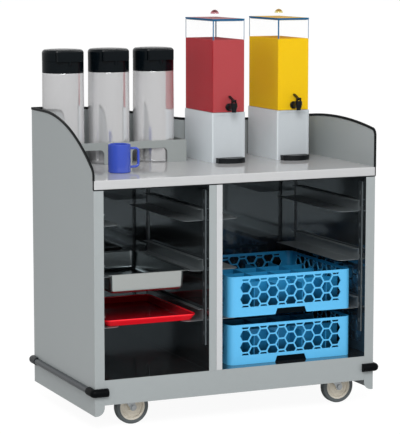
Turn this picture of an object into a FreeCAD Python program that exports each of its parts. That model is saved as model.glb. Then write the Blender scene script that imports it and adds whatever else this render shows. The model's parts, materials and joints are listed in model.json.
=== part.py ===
import FreeCAD, Part
import math
import os
import re
import Sketcher

# A hydration cart: an open two-bay steel cabinet on four swivel casters. Its worktop has a curved
# guard and carries airpots, drink dispensers and a mug, and its bays hold a pan, a tray and racks.
# +X is the cart's right, +Y its back and +Z up. The origin is on the ground under its middle.

# Driving dimensions in millimetres and degrees, in the order in which the cart is put together.
SIZES = {
    # Cabinet
    "cart_width": 1112,
    "cart_depth": 645,
    "sheet_wall": 1.5,
    "panel_clear": 60,
    "stile_width": 37,
    "stile_foot_radius": 30,
    "rail_clear": 98,
    "rail_height": 90,
    "rail_hem": 6,
    "back_clear": 150,
    "floor_flange": 26,
    "left_bay_width": 403,
    "divider_width": 52,
    "post_face_width": 27.5,
    "post_trim_gap": 1.6,
    # Worktop and its guard
    "worktop_height": 897,
    "worktop_wall": 2,
    "worktop_nose_radius": 4,
    "worktop_lip": 20,
    "apron_height": 32,
    "guard_rise_left": 207,
    "guard_sweep_radius": 808,
    "guard_sweep_angle": 37,
    "guard_toe_radius": 40,
    "guard_rise_right": 165.5,
    "guard_dome_radius": 1911,
    "guard_corner_radius": 25,
    "guard_wave_start": 76,
    "guard_wave_end": 306,
    "trim_cap": 3,
    "trim_grip": 6,
    "trim_seat": 0.4,
    "trim_wall": 2.2,
    # Bumpers
    "bumper_height": 145,
    "bumper_depth": 18,
    "bumper_radius": 11,
    "bumper_cap_depth": 20,
    "bumper_cap_radius": 15,
    "bumper_cap_length": 48,
    # Tray slides
    "slide_front": 46,
    "slide_length": 520,
    "slide_wall": 1.5,
    "slide_web": 42,
    "slide_lip": 20,
    "slide_room": 33.5,
    "slide_corner_radius": 28,
    "tray_ledge": 78,
    "rack_ledge": 86,
    "upright_width": 24,
    "upright_depth": 3,
    "upright_lead": 18,
    "upright_start": 90,
    "upright_end": 24,
    "upright_slot_pitch": 60,
    "upright_slot_width": 6,
    "upright_slot_height": 14,
    # Casters
    "caster_inset_side": 138.5,
    "caster_inset_end": 97.5,
    "caster_height": 157,
    "caster_trail": 37,
    "channel_width": 110,
    "channel_wall": 2,
    "plate_length": 100,
    "plate_width": 80,
    "plate_thickness": 4,
    "plate_bolt_x": 76,
    "plate_bolt_y": 56,
    "plate_bolt_radius": 4,
    "plate_bolt_head": 7,
    "plate_bolt_head_height": 5,
    "race_radius": 24,
    "race_height": 8,
    "kingpin_radius": 6,
    "kingpin_head_radius": 10,
    "kingpin_head_height": 6,
    "swivel_gap": 0.3,
    "run_clear": 0.05,
    "fork_wall": 3,
    "fork_crown_radius": 27,
    "fork_leg_half": 20,
    "fork_boss_radius": 13,
    "fork_gap": 3,
    "axle_radius": 5,
    "axle_head_radius": 9,
    "axle_head_height": 5,
    "wheel_radius": 62.5,
    "wheel_width": 32,
    "tyre_depth": 14.5,
    "tyre_shoulder": 7,
    "rim_width": 27,
    "rim_depth": 8,
    "web_thickness": 9,
    "hub_radius": 15,
    "hub_play": 0.5,
    "brake_gap": 5.5,
    "brake_pivot_angle": 61,
    "brake_ear_radius": 7,
    "brake_pin_radius": 3,
    "brake_hub_radius": 4.5,
    "brake_tread_length": 58,
    "brake_tread_thickness": 3,
    "brake_tread_rise": 10,
    "brake_shoe_offset": 18,
    "brake_shoe_width": 8,
    "brake_shoe_length": 14,
    # Airpots and the corral that holds them
    "pot_foot_radius": 80,
    "pot_top_radius": 77.5,
    "pot_body_height": 342,
    "pot_wall": 1.2,
    "pot_foot_chamfer": 3,
    "pot_neck_radius": 55,
    "vessel_radius": 66,
    "vessel_lift": 12,
    "head_height": 86,
    "head_wall": 3,
    "head_edge_radius": 12,
    "head_split": 43,
    "head_groove": 1,
    "button_radius": 52,
    "button_gap": 0.3,
    "button_well": 46,
    "button_travel": 25,
    "button_proud": 1,
    "button_thickness": 9,
    "button_stem_radius": 12,
    "pump_tube_radius": 5,
    "pump_tube_lift": 24,
    "spout_width": 100,
    "spout_reach": 6.5,
    "spout_top_drop": 4,
    "spout_corner_radius": 3,
    "spout_nozzle_radius": 6,
    "spout_nozzle_length": 14,
    "spout_nozzle_inset": 1,
    "pot_side_gap": 11,
    "pot_space": 21.5,
    "pot_end_gap": 21,
    "pot_front_gap": 1.5,
    "pot_back_gap": 10.5,
    "corral_wall": 2,
    "corral_height": 83,
    "corral_band": 28,
    "corral_leg": 79,
    "corral_middle_leg": 112,
    "corral_corner_radius": 18,
    # Drink dispensers
    "dispenser_width": 136,
    "dispenser_depth": 265,
    "dispenser_left_gap": 60,
    "dispenser_right_gap": 87.5,
    "dispenser_back_gap": 16,
    "base_height": 188,
    "base_wall": 3,
    "base_corner_radius": 6,
    "base_panel_inset": 10,
    "base_panel_depth": 1,
    "base_panel_radius": 14,
    "tank_inset": 3,
    "tank_height": 347,
    "tank_wall": 5,
    "tank_floor": 6,
    "tank_corner_radius": 3,
    "drink_gap": 0.3,
    "drink_level": 272,
    "lid_thickness": 3,
    "lid_inset": 2,
    "lid_lip": 6,
    "lid_lip_wall": 3,
    "lid_play": 0.5,
    "knob_stem_radius": 6,
    "knob_stem_height": 16,
    "knob_radius": 16.5,
    "knob_height": 15,
    "spigot_rise": 20,
    "spigot_reach": 46,
    "spigot_shank_radius": 10,
    "spigot_shank_play": 0.1,
    "spigot_collar_radius": 14.5,
    "spigot_collar_depth": 8,
    "spigot_nut_radius": 13.5,
    "spigot_nut_depth": 6,
    "spigot_body_radius": 13,
    "spigot_body_rise": 18,
    "spigot_nozzle_radius": 8.5,
    "spigot_body_drop": 12,
    "spigot_nozzle_drop": 17,
    "lever_length": 46,
    "lever_angle": 22,
    "lever_width": 12,
    "lever_grip_start": 21,
    "lever_thickness": 7,
    "lever_hub_radius": 5.5,
    "lever_hub_width": 10,
    "lever_pin_radius": 2,
    "lever_pivot_rise": 7,
    "lever_ear_gap": 0.3,
    "lever_ear_wall": 3.7,
    "drip_width": 109,
    "drip_side": 27,
    "drip_bow": 24,
    "drip_height": 19,
    "drip_gap": 0.3,
    "drip_slot_width": 4,
    "drip_slot_pitch": 9.5,
    "drip_slot_depth": 9,
    "drip_margin": 7,
    # Mug
    "mug_from_left": 181,
    "mug_from_front": 212.5,
    "mug_radius": 41.2,
    "mug_height": 103,
    "mug_wall": 3.5,
    "mug_base": 5,
    "mug_foot_radius": 5,
    "handle_radius": 4.6,
    "handle_reach": 32.5,
    "handle_bend": 13,
    "handle_top": 17,
    "handle_bottom": 19,
    # Steel pan
    "pan_width": 325,
    "pan_length": 530,
    "pan_depth": 71,
    "pan_rim": 15,
    "pan_rim_radius": 14,
    "pan_wall": 1.2,
    "pan_taper": 9,
    "pan_corner_radius": 20,
    "pan_play": 1.5,
    "pan_back_gap": 44,
    # Serving tray
    "tray_width": 355,
    "tray_length": 457,
    "tray_height": 25,
    "tray_wall": 3,
    "tray_flare": 16,
    "tray_corner_radius": 28,
    "tray_setback": 49.5,
    # Glass racks
    "rack_size": 500,
    "rack_height": 148.5,
    "rack_room": 29.5,
    "rack_wall": 4,
    "rack_corner_radius": 25,
    "rack_setback": 45,
    "rack_shift": 7,
    "comb_pitch": 37,
    "comb_rib": 5.5,
    "comb_height": 86,
    "comb_half_band": 52,
    "notch_width": 128,
    "notch_slant": 8,
    "notch_height": 22,
    "notch_depth": 14,
    "drain_hole": 64,
    "cell_wall": 2.5,
    "cell_height": 104,
    "cell_lap_gap": 0.2,
    "cell_end_gap": 0.4,
}
COMB_COLUMNS = 11
CELLS = 5
POTS = 3
SLIDE_LEVELS = 3
ROOT_3 = math.sqrt(3)

# Places that follow from the driving dimensions.
HALF_W = "(cart_width / 2)"
HALF_D = "(cart_depth / 2)"
FLOOR = "(rail_clear + rail_height)"
CABINET_TOP = "(worktop_height - apron_height)"
WALL_LEFT = f"(-{HALF_W} + stile_width)"
WALL_RIGHT = f"({HALF_W} - stile_width)"
DIVIDER_LEFT = f"({WALL_LEFT} + left_bay_width)"
DIVIDER_RIGHT = f"({DIVIDER_LEFT} + divider_width)"
BACK_INNER = f"({HALF_D} - sheet_wall)"
SIDE_INNER = f"({HALF_W} - sheet_wall)"
GUARD_LEFT = "(worktop_height + guard_rise_left)"
GUARD_RIGHT = "(worktop_height + guard_rise_right)"
GUARD_RIGHT_CENTRE = f"({GUARD_RIGHT} - guard_dome_radius)"
GUARD_RIGHT_BACK = f"({GUARD_RIGHT_CENTRE} + sqrt(guard_dome_radius ^ 2 - {HALF_D} ^ 2))"
SLIDE_FIRST = f"({FLOOR} + rack_height + rack_room)"
SLIDE_PITCH = "(rack_height + slide_room)"
FORK_TOP = "(caster_height - plate_thickness - race_height - swivel_gap)"
LEG_INNER = "(wheel_width / 2 + fork_gap)"
LEG_OUTER = f"({LEG_INNER} + fork_wall)"
BRAKE_X = "(caster_trail + (wheel_radius + brake_gap) * cos(brake_pivot_angle))"
BRAKE_Z = "(wheel_radius + (wheel_radius + brake_gap) * sin(brake_pivot_angle))"
CORRAL_LEFT = f"(-{SIDE_INNER})"
CORRAL_RIGHT = (
    f"({CORRAL_LEFT} + pot_side_gap + {2 * POTS} * pot_foot_radius"
    f" + {POTS - 1} * pot_space + pot_end_gap)"
)
CORRAL_FRONT = (
    f"({BACK_INNER} - pot_back_gap - 2 * pot_foot_radius - pot_front_gap - corral_wall)"
)
POT_TOP = "(pot_body_height + head_height)"
TANK_RIM = "(base_height + tank_height)"
TANK_INNER = "(tank_inset + tank_wall)"
SPIGOT_Y = "(tank_inset - spigot_reach)"
SPIGOT_Z = "(base_height + spigot_rise)"
LEVER_Z = f"({SPIGOT_Z} + spigot_body_rise + lever_pivot_rise)"
EAR_INNER = "(lever_hub_width / 2 + lever_ear_gap)"
EAR_OUTER = f"({EAR_INNER} + lever_ear_wall)"
CELL = f"((rack_size - 2 * rack_wall) / {CELLS})"
PAN_BODY = "(pan_width - 2 * pan_rim)"
PAN_LEDGE = f"((left_bay_width - {PAN_BODY}) / 2 - upright_depth - pan_play)"

doc = FreeCAD.newDocument("hydration_cart")
sheet = doc.addObject("Spreadsheet::Sheet", "Sizes")
for row, (alias, number) in enumerate(SIZES.items(), start=1):
    sheet.set(f"A{row}", alias)
    sheet.set(f"B{row}", str(number))
    sheet.setAlias(f"B{row}", alias)
doc.recompute()

nodes = []
pockets = []
firsts = {}


# Binding sizes and places to the sheet
def bound(formula):
    """The formula with each size's name read from the sheet."""
    return re.sub(r"[a-z_0-9]+", lambda word: f"Sizes.{word[0]}" if word[0] in SIZES else word[0], formula)


def size(formula):
    """The number that a formula of sizes gives."""
    return float(sheet.evalExpression(bound(formula)))


def bind(thing, **formulas):
    for prop, formula in formulas.items():
        thing.setExpression(prop, bound(formula))


def place(thing, x="0", y="0", z="0"):
    for axis, formula in (("x", x), ("y", y), ("z", z)):
        thing.setExpression(f"Placement.Base.{axis}", bound(formula))


def node(thing, label):
    """Name a finished piece, whose file takes the same name."""
    thing.Label = label
    nodes.append(thing)
    return thing


def group(label, pieces):
    """Separate solids of one kind that share a node."""
    compound = doc.addObject("Part::Compound", label)
    compound.Links = pieces
    return node(compound, label)


def once(kind, make, x, y, z):
    """A piece of its kind at a place: made the first time, and copied from then on."""
    if kind not in firsts:
        firsts[kind] = (make(x, y, z), x, y, z)
        return firsts[kind][0]
    first, first_x, first_y, first_z = firsts[kind]
    twin = doc.addObject("Part::Compound", kind)
    twin.Links = [first]
    place(twin, f"({x}) - ({first_x})", f"({y}) - ({first_y})", f"({z}) - ({first_z})")
    return twin


# Outlines: points (u, v), or (u, v, radius, turn) where an arc leaves the point, left (1) or right (-1)
def rectangle(left, right, low, high):
    return [(left, low), (right, low), (right, high), (left, high)]


def rounded(left, right, low, high, radius):
    radius = f"({radius})"
    return [
        (f"{left} + {radius}", low),
        (f"{right} - {radius}", low, radius, 1),
        (right, f"{low} + {radius}"),
        (right, f"{high} - {radius}", radius, 1),
        (f"{right} - {radius}", high),
        (f"{left} + {radius}", high, radius, 1),
        (left, f"{high} - {radius}"),
        (left, f"{low} + {radius}", radius, 1),
    ]


def reverse(path):
    """The same open path walked the other way."""
    walked = []
    for index in range(len(path) - 1, -1, -1):
        step = path[index - 1][2:] if index else ()
        back = (step[0], -step[1]) if step else ()
        walked.append(path[index][:2] + back)
    return walked


def arc_centre(start, end, radius, turn):
    """Centre of the short arc from start to end, left of the way for a left turn."""
    mid_u = (start[0] + end[0]) / 2
    mid_v = (start[1] + end[1]) / 2
    du = end[0] - start[0]
    dv = end[1] - start[1]
    chord = math.hypot(du, dv)
    rise = math.sqrt(max(radius * radius - chord * chord / 4, 0)) * turn
    return mid_u - dv / chord * rise, mid_v + du / chord * rise


def constrain_point(sketch, geometry, end, point):
    """Hold one end of a line or arc at its place, bound to the sheet."""
    for kind, formula in (("DistanceX", point[0]), ("DistanceY", point[1])):
        number = size(formula)
        if number < 0:
            held = Sketcher.Constraint(kind, geometry, end, -1, 1, -number)
            formula = f"-({formula})"
        else:
            held = Sketcher.Constraint(kind, -1, 1, geometry, end, number)
        index = sketch.addConstraint(held)
        sketch.setExpression(f"Constraints[{index}]", bound(formula))


def draw(sketch, outline, closed=True):
    """Draw an outline of lines and arcs, each point and radius bound to the sheet."""
    spots = [(size(point[0]), size(point[1])) for point in outline]
    steps = len(outline) if closed else len(outline) - 1
    ends = []
    for index in range(steps):
        start = spots[index]
        finish = spots[(index + 1) % len(outline)]
        if len(outline[index]) == 2:
            line = Part.LineSegment(FreeCAD.Vector(*start, 0), FreeCAD.Vector(*finish, 0))
            ends.append((sketch.addGeometry(line, False), 1, 2))
            continue
        radius = size(outline[index][2])
        turn = outline[index][3]
        centre = arc_centre(start, finish, radius, turn)
        first, last = (start, finish) if turn > 0 else (finish, start)
        begin = math.atan2(first[1] - centre[1], first[0] - centre[0])
        stop = math.atan2(last[1] - centre[1], last[0] - centre[0])
        circle = Part.Circle(FreeCAD.Vector(*centre, 0), FreeCAD.Vector(0, 0, 1), radius)
        arc = sketch.addGeometry(Part.ArcOfCircle(circle, begin, stop), False)
        ends.append((arc, 1, 2) if turn > 0 else (arc, 2, 1))
        held = sketch.addConstraint(Sketcher.Constraint("Radius", arc, radius))
        sketch.setExpression(f"Constraints[{held}]", bound(outline[index][2]))
    for index, (geometry, begin, stop) in enumerate(ends):
        constrain_point(sketch, geometry, begin, outline[index])
        if closed or index + 1 < len(ends):
            after = ends[(index + 1) % len(ends)]
            sketch.addConstraint(Sketcher.Constraint("Coincident", geometry, stop, after[0], after[1]))
    if not closed:
        constrain_point(sketch, ends[-1][0], ends[-1][2], outline[-1])


def draw_circle(sketch, u, v, radius):
    centre = FreeCAD.Vector(size(u), size(v), 0)
    circle = sketch.addGeometry(Part.Circle(centre, FreeCAD.Vector(0, 0, 1), size(radius)), False)
    held = sketch.addConstraint(Sketcher.Constraint("Radius", circle, size(radius)))
    sketch.setExpression(f"Constraints[{held}]", bound(radius))
    constrain_point(sketch, circle, 3, (u, v))


# Part design features
def new_body(name, x="0", y="0", z="0", turned=0):
    body = doc.addObject("PartDesign::Body", name)
    body.Placement = FreeCAD.Placement(FreeCAD.Vector(), FreeCAD.Rotation(FreeCAD.Vector(0, 0, 1), turned))
    place(body, x, y, z)
    return body


def new_sketch(body, plane, offset, outlines=(), circles=(), closed=True):
    """A sketch on one of the body's own planes: xy, xz or yz, shifted along the plane's normal."""
    sketch = body.newObject("Sketcher::SketchObject", "Sketch")
    role = f"{plane.upper()}_Plane"
    support = next(feature for feature in body.Origin.OriginFeatures if feature.Role == role)
    sketch.AttachmentSupport = [(support, "")]
    sketch.MapMode = "FlatFace"
    sketch.setExpression("AttachmentOffset.Base.z", bound(offset))
    for outline in outlines:
        draw(sketch, outline, closed)
    for circle in circles:
        draw_circle(sketch, *circle)
    return sketch


def pad(body, plane, low, high, *outlines, circles=()):
    """Add the outlines' solid from low to high along X (yz), Y (xz) or Z (xy)."""
    offset = f"-({high})" if plane == "xz" else low
    feature = body.newObject("PartDesign::Pad", "Pad")
    feature.Profile = new_sketch(body, plane, offset, outlines, circles)
    bind(feature, Length=f"({high}) - ({low})")
    body.Tip = feature
    return feature


def pocket(body, plane, low, high, *outlines, circles=()):
    """Cut the outlines' solid from low to high along X (yz), Y (xz) or Z (xy)."""
    offset = f"-({low})" if plane == "xz" else high
    feature = body.newObject("PartDesign::Pocket", "Pocket")
    feature.Profile = new_sketch(body, plane, offset, outlines, circles)
    bind(feature, Length=f"({high}) - ({low})")
    body.Tip = feature
    pockets.append(feature)
    return feature


def repeat(body, feature, axis, pitch, count):
    """Repeat a feature in a row along one of the body's own axes."""
    row = body.newObject("PartDesign::LinearPattern", "Row")
    row.Originals = [feature]
    role = f"{axis.upper()}_Axis"
    direction = next(item for item in body.Origin.OriginFeatures if item.Role == role)
    row.Direction = (direction, [""])
    row.Mode = "Extent"
    bind(row, Length=f"({pitch}) * {count - 1}")
    row.Occurrences = count
    body.Tip = row
    return row


def revolve(body, plane, *outlines, offset="0", angle=360):
    """Turn outlines (radius, height) about the sketch's upright axis: Z on xz, Y on xy."""
    sketch = new_sketch(body, plane, offset, outlines)
    feature = body.newObject("PartDesign::Revolution", "Revolution")
    feature.Profile = sketch
    feature.ReferenceAxis = (sketch, ["V_Axis"])
    feature.Angle = angle
    body.Tip = feature
    return feature


def loft(body, kind, *sections):
    """Join outlines at two heights (height, outline) into an additive or a subtractive loft."""
    sketches = [new_sketch(body, "xy", height, [outline]) for height, outline in sections]
    feature = body.newObject(f"PartDesign::{kind}Loft", "Loft")
    feature.Profile = sketches[0]
    feature.Sections = sketches[1:]
    feature.Ruled = True
    body.Tip = feature
    return feature


# Guard edges, as paths that stand a distance out from the sheet's edge
def guard_left_edge(out):
    """Back to front: level, a long falling sweep, a small toe, then straight down to the worktop."""
    sine = "sin(guard_sweep_angle)"
    cosine = "cos(guard_sweep_angle)"
    crown = f"(-{HALF_D} + guard_toe_radius * (1 - {sine}) + guard_sweep_radius * {sine})"
    toe = f"({GUARD_LEFT} - guard_sweep_radius * (1 - {cosine}) - guard_toe_radius * {cosine})"
    return [
        (HALF_D, f"{GUARD_LEFT} + {out}"),
        (crown, f"{GUARD_LEFT} + {out}", f"guard_sweep_radius + {out}", 1),
        (
            f"{crown} - (guard_sweep_radius + {out}) * {sine}",
            f"{GUARD_LEFT} - guard_sweep_radius + (guard_sweep_radius + {out}) * {cosine}",
            f"guard_toe_radius + {out}",
            1,
        ),
        (f"-{HALF_D} - ({out})", toe),
        (f"-{HALF_D} - ({out})", "worktop_height"),
    ]


def guard_right_edge(out):
    """Back to front: a shallow dome, a rounded corner, then straight down to the worktop."""
    reach = f"({HALF_D} - guard_corner_radius)"
    span = "(guard_dome_radius - guard_corner_radius)"
    rise = f"sqrt({span} ^ 2 - {reach} ^ 2)"
    return [
        (
            HALF_D,
            f"{GUARD_RIGHT_CENTRE} + sqrt((guard_dome_radius + {out}) ^ 2 - {HALF_D} ^ 2)",
            f"guard_dome_radius + {out}",
            1,
        ),
        (
            f"-(guard_dome_radius + {out}) * {reach} / {span}",
            f"{GUARD_RIGHT_CENTRE} + (guard_dome_radius + {out}) * {rise} / {span}",
            f"guard_corner_radius + {out}",
            1,
        ),
        (f"-{HALF_D} - ({out})", f"{GUARD_RIGHT_CENTRE} + {rise}"),
        (f"-{HALF_D} - ({out})", "worktop_height"),
    ]


def guard_back_edge(out, inset):
    """Left to right: level, an S of two equal arcs down to the lower right side, then level."""
    start = f"(-{HALF_W} + guard_wave_start)"
    end = f"({HALF_W} - guard_wave_end)"
    run = f"({end} - {start})"
    drop = f"({GUARD_LEFT} - {GUARD_RIGHT_BACK})"
    radius = f"(({run} ^ 2 + {drop} ^ 2) / (4 * {drop}))"
    return [
        (f"-{HALF_W} + {inset}", f"{GUARD_LEFT} + {out}"),
        (start, f"{GUARD_LEFT} + {out}", f"{radius} + {out}", -1),
        (
            f"{start} + ({radius} + {out}) * {run} / (2 * {radius})",
            f"{GUARD_LEFT} - {radius} + ({radius} + {out}) * (1 - {drop} / (2 * {radius}))",
            f"{radius} - ({out})",
            1,
        ),
        (end, f"{GUARD_RIGHT_BACK} + {out}"),
        (f"{HALF_W} - ({inset})", f"{GUARD_RIGHT_BACK} + {out}"),
    ]


# Cabinet
def side_panel(label, side, edge):
    """A folded side: a sheet with the guard's outline on top, and a front flange that makes the stile."""
    outer = f"{side} * {HALF_W}"
    inner = f"{side} * {SIDE_INNER}"
    low, high = (outer, inner) if side < 0 else (inner, outer)
    body = new_body(label)
    outline = edge("0")[:-1] + [(f"-{HALF_D}", "panel_clear"), (HALF_D, "panel_clear")]
    pad(body, "yz", low, high, outline)
    stile = f"{side} * ({HALF_W} - stile_width)"
    knee = f"{side} * ({HALF_W} - stile_width + stile_foot_radius)"
    flange = [
        (outer, "panel_clear"),
        (knee, "panel_clear", "stile_foot_radius", -side),
        (stile, "panel_clear + stile_foot_radius"),
        (stile, CABINET_TOP),
        (outer, CABINET_TOP),
    ]
    pad(body, "xz", f"-{HALF_D}", f"-{HALF_D} + sheet_wall", flange)
    return node(body, label)


def side_liner(side):
    """A bay's inner wall, with a top flange that reaches the side panel under the worktop."""
    outer = f"{side} * {SIDE_INNER}"
    face = f"{side} * ({HALF_W} - stile_width)"
    back = f"{side} * ({HALF_W} - stile_width + sheet_wall)"
    body = new_body("side_liner")
    outline = [
        (face, FLOOR),
        (face, CABINET_TOP),
        (outer, CABINET_TOP),
        (outer, f"{CABINET_TOP} - sheet_wall"),
        (back, f"{CABINET_TOP} - sheet_wall"),
        (back, FLOOR),
    ]
    pad(body, "xz", f"-{HALF_D} + sheet_wall", BACK_INNER, outline)
    return body


def back_panel():
    """The back sheet, with a notch in each upper corner that the side edging's inner leg runs through."""
    body = new_body("back_panel")
    inset = "sheet_wall + trim_wall + trim_seat"
    notch = "(trim_grip + 2 * trim_seat)"
    outline = guard_back_edge("0", inset) + [
        (f"{HALF_W} - ({inset})", f"{GUARD_RIGHT_BACK} - {notch}"),
        (SIDE_INNER, f"{GUARD_RIGHT_BACK} - {notch}"),
        (SIDE_INNER, "back_clear"),
        (f"-{SIDE_INNER}", "back_clear"),
        (f"-{SIDE_INNER}", f"{GUARD_LEFT} - {notch}"),
        (f"-{HALF_W} + {inset}", f"{GUARD_LEFT} - {notch}"),
    ]
    pad(body, "xz", BACK_INNER, HALF_D, outline)
    return node(body, "back_panel")


def guard_trim():
    """U-shaped edging pushed over the guard's three edges: two legs and a cap each."""
    lip = "trim_cap"
    grip = "-trim_grip"
    strips = []
    for side, edge in ((-1, guard_left_edge), (1, guard_right_edge)):
        body = new_body("side_trim")
        outside = f"{HALF_W} + trim_wall"
        inside = f"{SIDE_INNER} - trim_wall"
        leg = edge(lip) + reverse(edge(grip))
        cap = edge(lip) + reverse(edge("trim_seat"))
        for near, far, outline in (
            (SIDE_INNER, inside, leg), (HALF_W, SIDE_INNER, cap), (outside, HALF_W, leg),
        ):
            ends = (f"{side} * ({near})", f"{side} * ({far})")
            low, high = sorted(ends, key=size)
            pad(body, "yz", low, high, outline)
        strips.append(body)
    body = new_body("back_trim")
    inset = "sheet_wall + trim_wall"
    leg = guard_back_edge(lip, inset) + reverse(guard_back_edge(grip, inset))
    cap = guard_back_edge(lip, inset) + reverse(guard_back_edge("trim_seat", inset))
    pad(body, "xz", f"{BACK_INNER} - trim_wall", BACK_INNER, leg)
    pad(body, "xz", BACK_INNER, HALF_D, cap)
    pad(body, "xz", HALF_D, f"{HALF_D} + trim_wall", leg)
    strips.append(body)
    group("guard_edge_trim", strips)


def front_rail():
    """The plinth below the bays, with a hemmed lower edge."""
    body = new_body("front_rail")
    front = f"-{HALF_D}"
    outline = [
        (front, "rail_clear"),
        (f"{front} + rail_hem", "rail_clear"),
        (f"{front} + rail_hem", "rail_clear + sheet_wall"),
        (f"{front} + sheet_wall", "rail_clear + sheet_wall"),
        (f"{front} + sheet_wall", FLOOR),
        (front, FLOOR),
    ]
    pad(body, "yz", WALL_LEFT, WALL_RIGHT, outline)
    node(body, "front_rail")


def caster_places():
    """Each caster's name and swivel axis, front pair first."""
    for end, end_sign in (("front", -1), ("rear", 1)):
        for hand, hand_sign in (("left", -1), ("right", 1)):
            x = f"{hand_sign} * ({HALF_W} - caster_inset_side)"
            y = f"{end_sign} * ({HALF_D} - caster_inset_end)"
            yield f"{end}_{hand}", x, y


def plate_bolt_places():
    for _, x, y in caster_places():
        for u in (-1, 1):
            for v in (-1, 1):
                yield f"{x} + {u} * plate_bolt_x / 2", f"{y} + {v} * plate_bolt_y / 2"


def cabinet_floor():
    """A folded floor pan with two welded channels below it that carry the casters."""
    body = new_body("cabinet_floor")
    front = f"(-{HALF_D} + sheet_wall)"
    skirt = f"{FLOOR} - floor_flange"
    under = f"({FLOOR} - sheet_wall)"
    outline = [
        (front, skirt),
        (f"{front} + sheet_wall", skirt),
        (f"{front} + sheet_wall", under),
        (f"{BACK_INNER} - sheet_wall", under),
        (f"{BACK_INNER} - sheet_wall", skirt),
        (BACK_INNER, skirt),
        (BACK_INNER, FLOOR),
        (front, FLOOR),
    ]
    pad(body, "yz", f"-{SIDE_INNER}", SIDE_INNER, outline)
    for side in (-1, 1):
        left = f"({side} * ({HALF_W} - caster_inset_side) - channel_width / 2)"
        right = f"({left} + channel_width)"
        channel = [
            (left, "caster_height"),
            (right, "caster_height"),
            (right, under),
            (f"{right} - channel_wall", under),
            (f"{right} - channel_wall", "caster_height + channel_wall"),
            (f"{left} + channel_wall", "caster_height + channel_wall"),
            (f"{left} + channel_wall", under),
            (left, under),
        ]
        pad(body, "xz", f"{front} + sheet_wall", f"{BACK_INNER} - sheet_wall", channel)
    holes = [(x, y, "plate_bolt_radius") for x, y in plate_bolt_places()]
    pins = [(x, y, "kingpin_radius") for _, x, y in caster_places()]
    pocket(body, "xy", "caster_height", "caster_height + channel_wall", circles=holes + pins)
    node(body, "cabinet_floor")


def centre_divider():
    """A channel between the bays, open at the back, with a raised face strip beside a bright one."""
    body = new_body("centre_divider")
    face = f"(-{HALF_D} + sheet_wall)"
    channel = [
        (DIVIDER_LEFT, face),
        (DIVIDER_RIGHT, face),
        (DIVIDER_RIGHT, BACK_INNER),
        (f"{DIVIDER_RIGHT} - sheet_wall", BACK_INNER),
        (f"{DIVIDER_RIGHT} - sheet_wall", f"{face} + sheet_wall"),
        (f"{DIVIDER_LEFT} + sheet_wall", f"{face} + sheet_wall"),
        (f"{DIVIDER_LEFT} + sheet_wall", BACK_INNER),
        (DIVIDER_LEFT, BACK_INNER),
    ]
    pad(body, "xy", FLOOR, CABINET_TOP, channel)
    strip = rectangle(DIVIDER_LEFT, f"{DIVIDER_LEFT} + post_face_width", f"-{HALF_D}", face)
    pad(body, "xy", FLOOR, CABINET_TOP, strip)
    node(body, "centre_divider")
    trim = new_body("centre_post_trim")
    start = f"{DIVIDER_LEFT} + post_face_width + post_trim_gap"
    pad(trim, "xy", FLOOR, CABINET_TOP, rectangle(start, DIVIDER_RIGHT, f"-{HALF_D}", face))
    node(trim, "centre_post_trim")


def worktop():
    """A folded top with a rounded nose, a front apron, a back flange and a lip under each."""
    body = new_body("worktop")
    front = f"-{HALF_D}"
    under = "(worktop_height - worktop_wall)"
    lip_top = f"({CABINET_TOP} + worktop_wall)"
    outline = [
        (front, CABINET_TOP),
        (f"{front} + worktop_lip", CABINET_TOP),
        (f"{front} + worktop_lip", lip_top),
        (f"{front} + worktop_wall", lip_top),
        (f"{front} + worktop_wall", under),
        (f"{BACK_INNER} - worktop_wall", under),
        (f"{BACK_INNER} - worktop_wall", lip_top),
        (f"{BACK_INNER} - worktop_lip", lip_top),
        (f"{BACK_INNER} - worktop_lip", CABINET_TOP),
        (BACK_INNER, CABINET_TOP),
        (BACK_INNER, "worktop_height"),
        (f"{front} + worktop_nose_radius", "worktop_height", "worktop_nose_radius", 1),
        (front, "worktop_height - worktop_nose_radius"),
    ]
    pad(body, "yz", f"-{SIDE_INNER}", SIDE_INNER, outline)
    node(body, "worktop")


def bumper_outline(depth, radius, sign=-1):
    """A flat-backed strip with rounded edges that stands out from a panel at the bumper's height."""
    crest = f"{sign} * {depth}"
    shoulder = f"{sign} * ({depth} - {radius})"
    return [
        ("0", f"bumper_height - {radius}"),
        ("0", f"bumper_height + {radius}"),
        (shoulder, f"bumper_height + {radius}", radius, -sign),
        (crest, "bumper_height", radius, -sign),
        (shoulder, f"bumper_height - {radius}"),
    ]


def bumpers():
    """A rail along each side between black caps that wrap the cart's four corners."""
    rails = []
    run = f"{HALF_D} - bumper_cap_length"
    for side in (-1, 1):
        body = new_body("bumper_rail", x=f"{side} * {HALF_W}")
        pad(body, "xz", f"-({run})", run, bumper_outline("bumper_depth", "bumper_radius", side))
        rails.append(body)
    group("bumper_rails", rails)
    caps = []
    for corner, (x_sign, y_sign) in enumerate(((-1, -1), (1, -1), (1, 1), (-1, 1))):
        body = new_body("bumper_cap", f"{x_sign} * {HALF_W}", f"{y_sign} * {HALF_D}", turned=90 * corner)
        outline = bumper_outline("bumper_cap_depth", "bumper_cap_radius")
        pad(body, "xz", "0", "bumper_cap_length", outline)
        pad(body, "yz", "0", "bumper_cap_length", outline)
        turn = revolve(body, "xz", outline, angle=90)
        turn.Reversed = False
        caps.append(body)
    group("bumper_end_caps", caps)


# Tray slides
def bay_walls():
    """Each bay wall: its face, the way into the bay, and its ledge widths from the lowest level up."""
    tray_ledges = ["tray_ledge", PAN_LEDGE, "tray_ledge"]
    rack_ledges = ["rack_ledge"] * SLIDE_LEVELS
    yield WALL_LEFT, 1, tray_ledges
    yield DIVIDER_LEFT, -1, tray_ledges
    yield DIVIDER_RIGHT, 1, rack_ledges
    yield WALL_RIGHT, -1, rack_ledges


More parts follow.
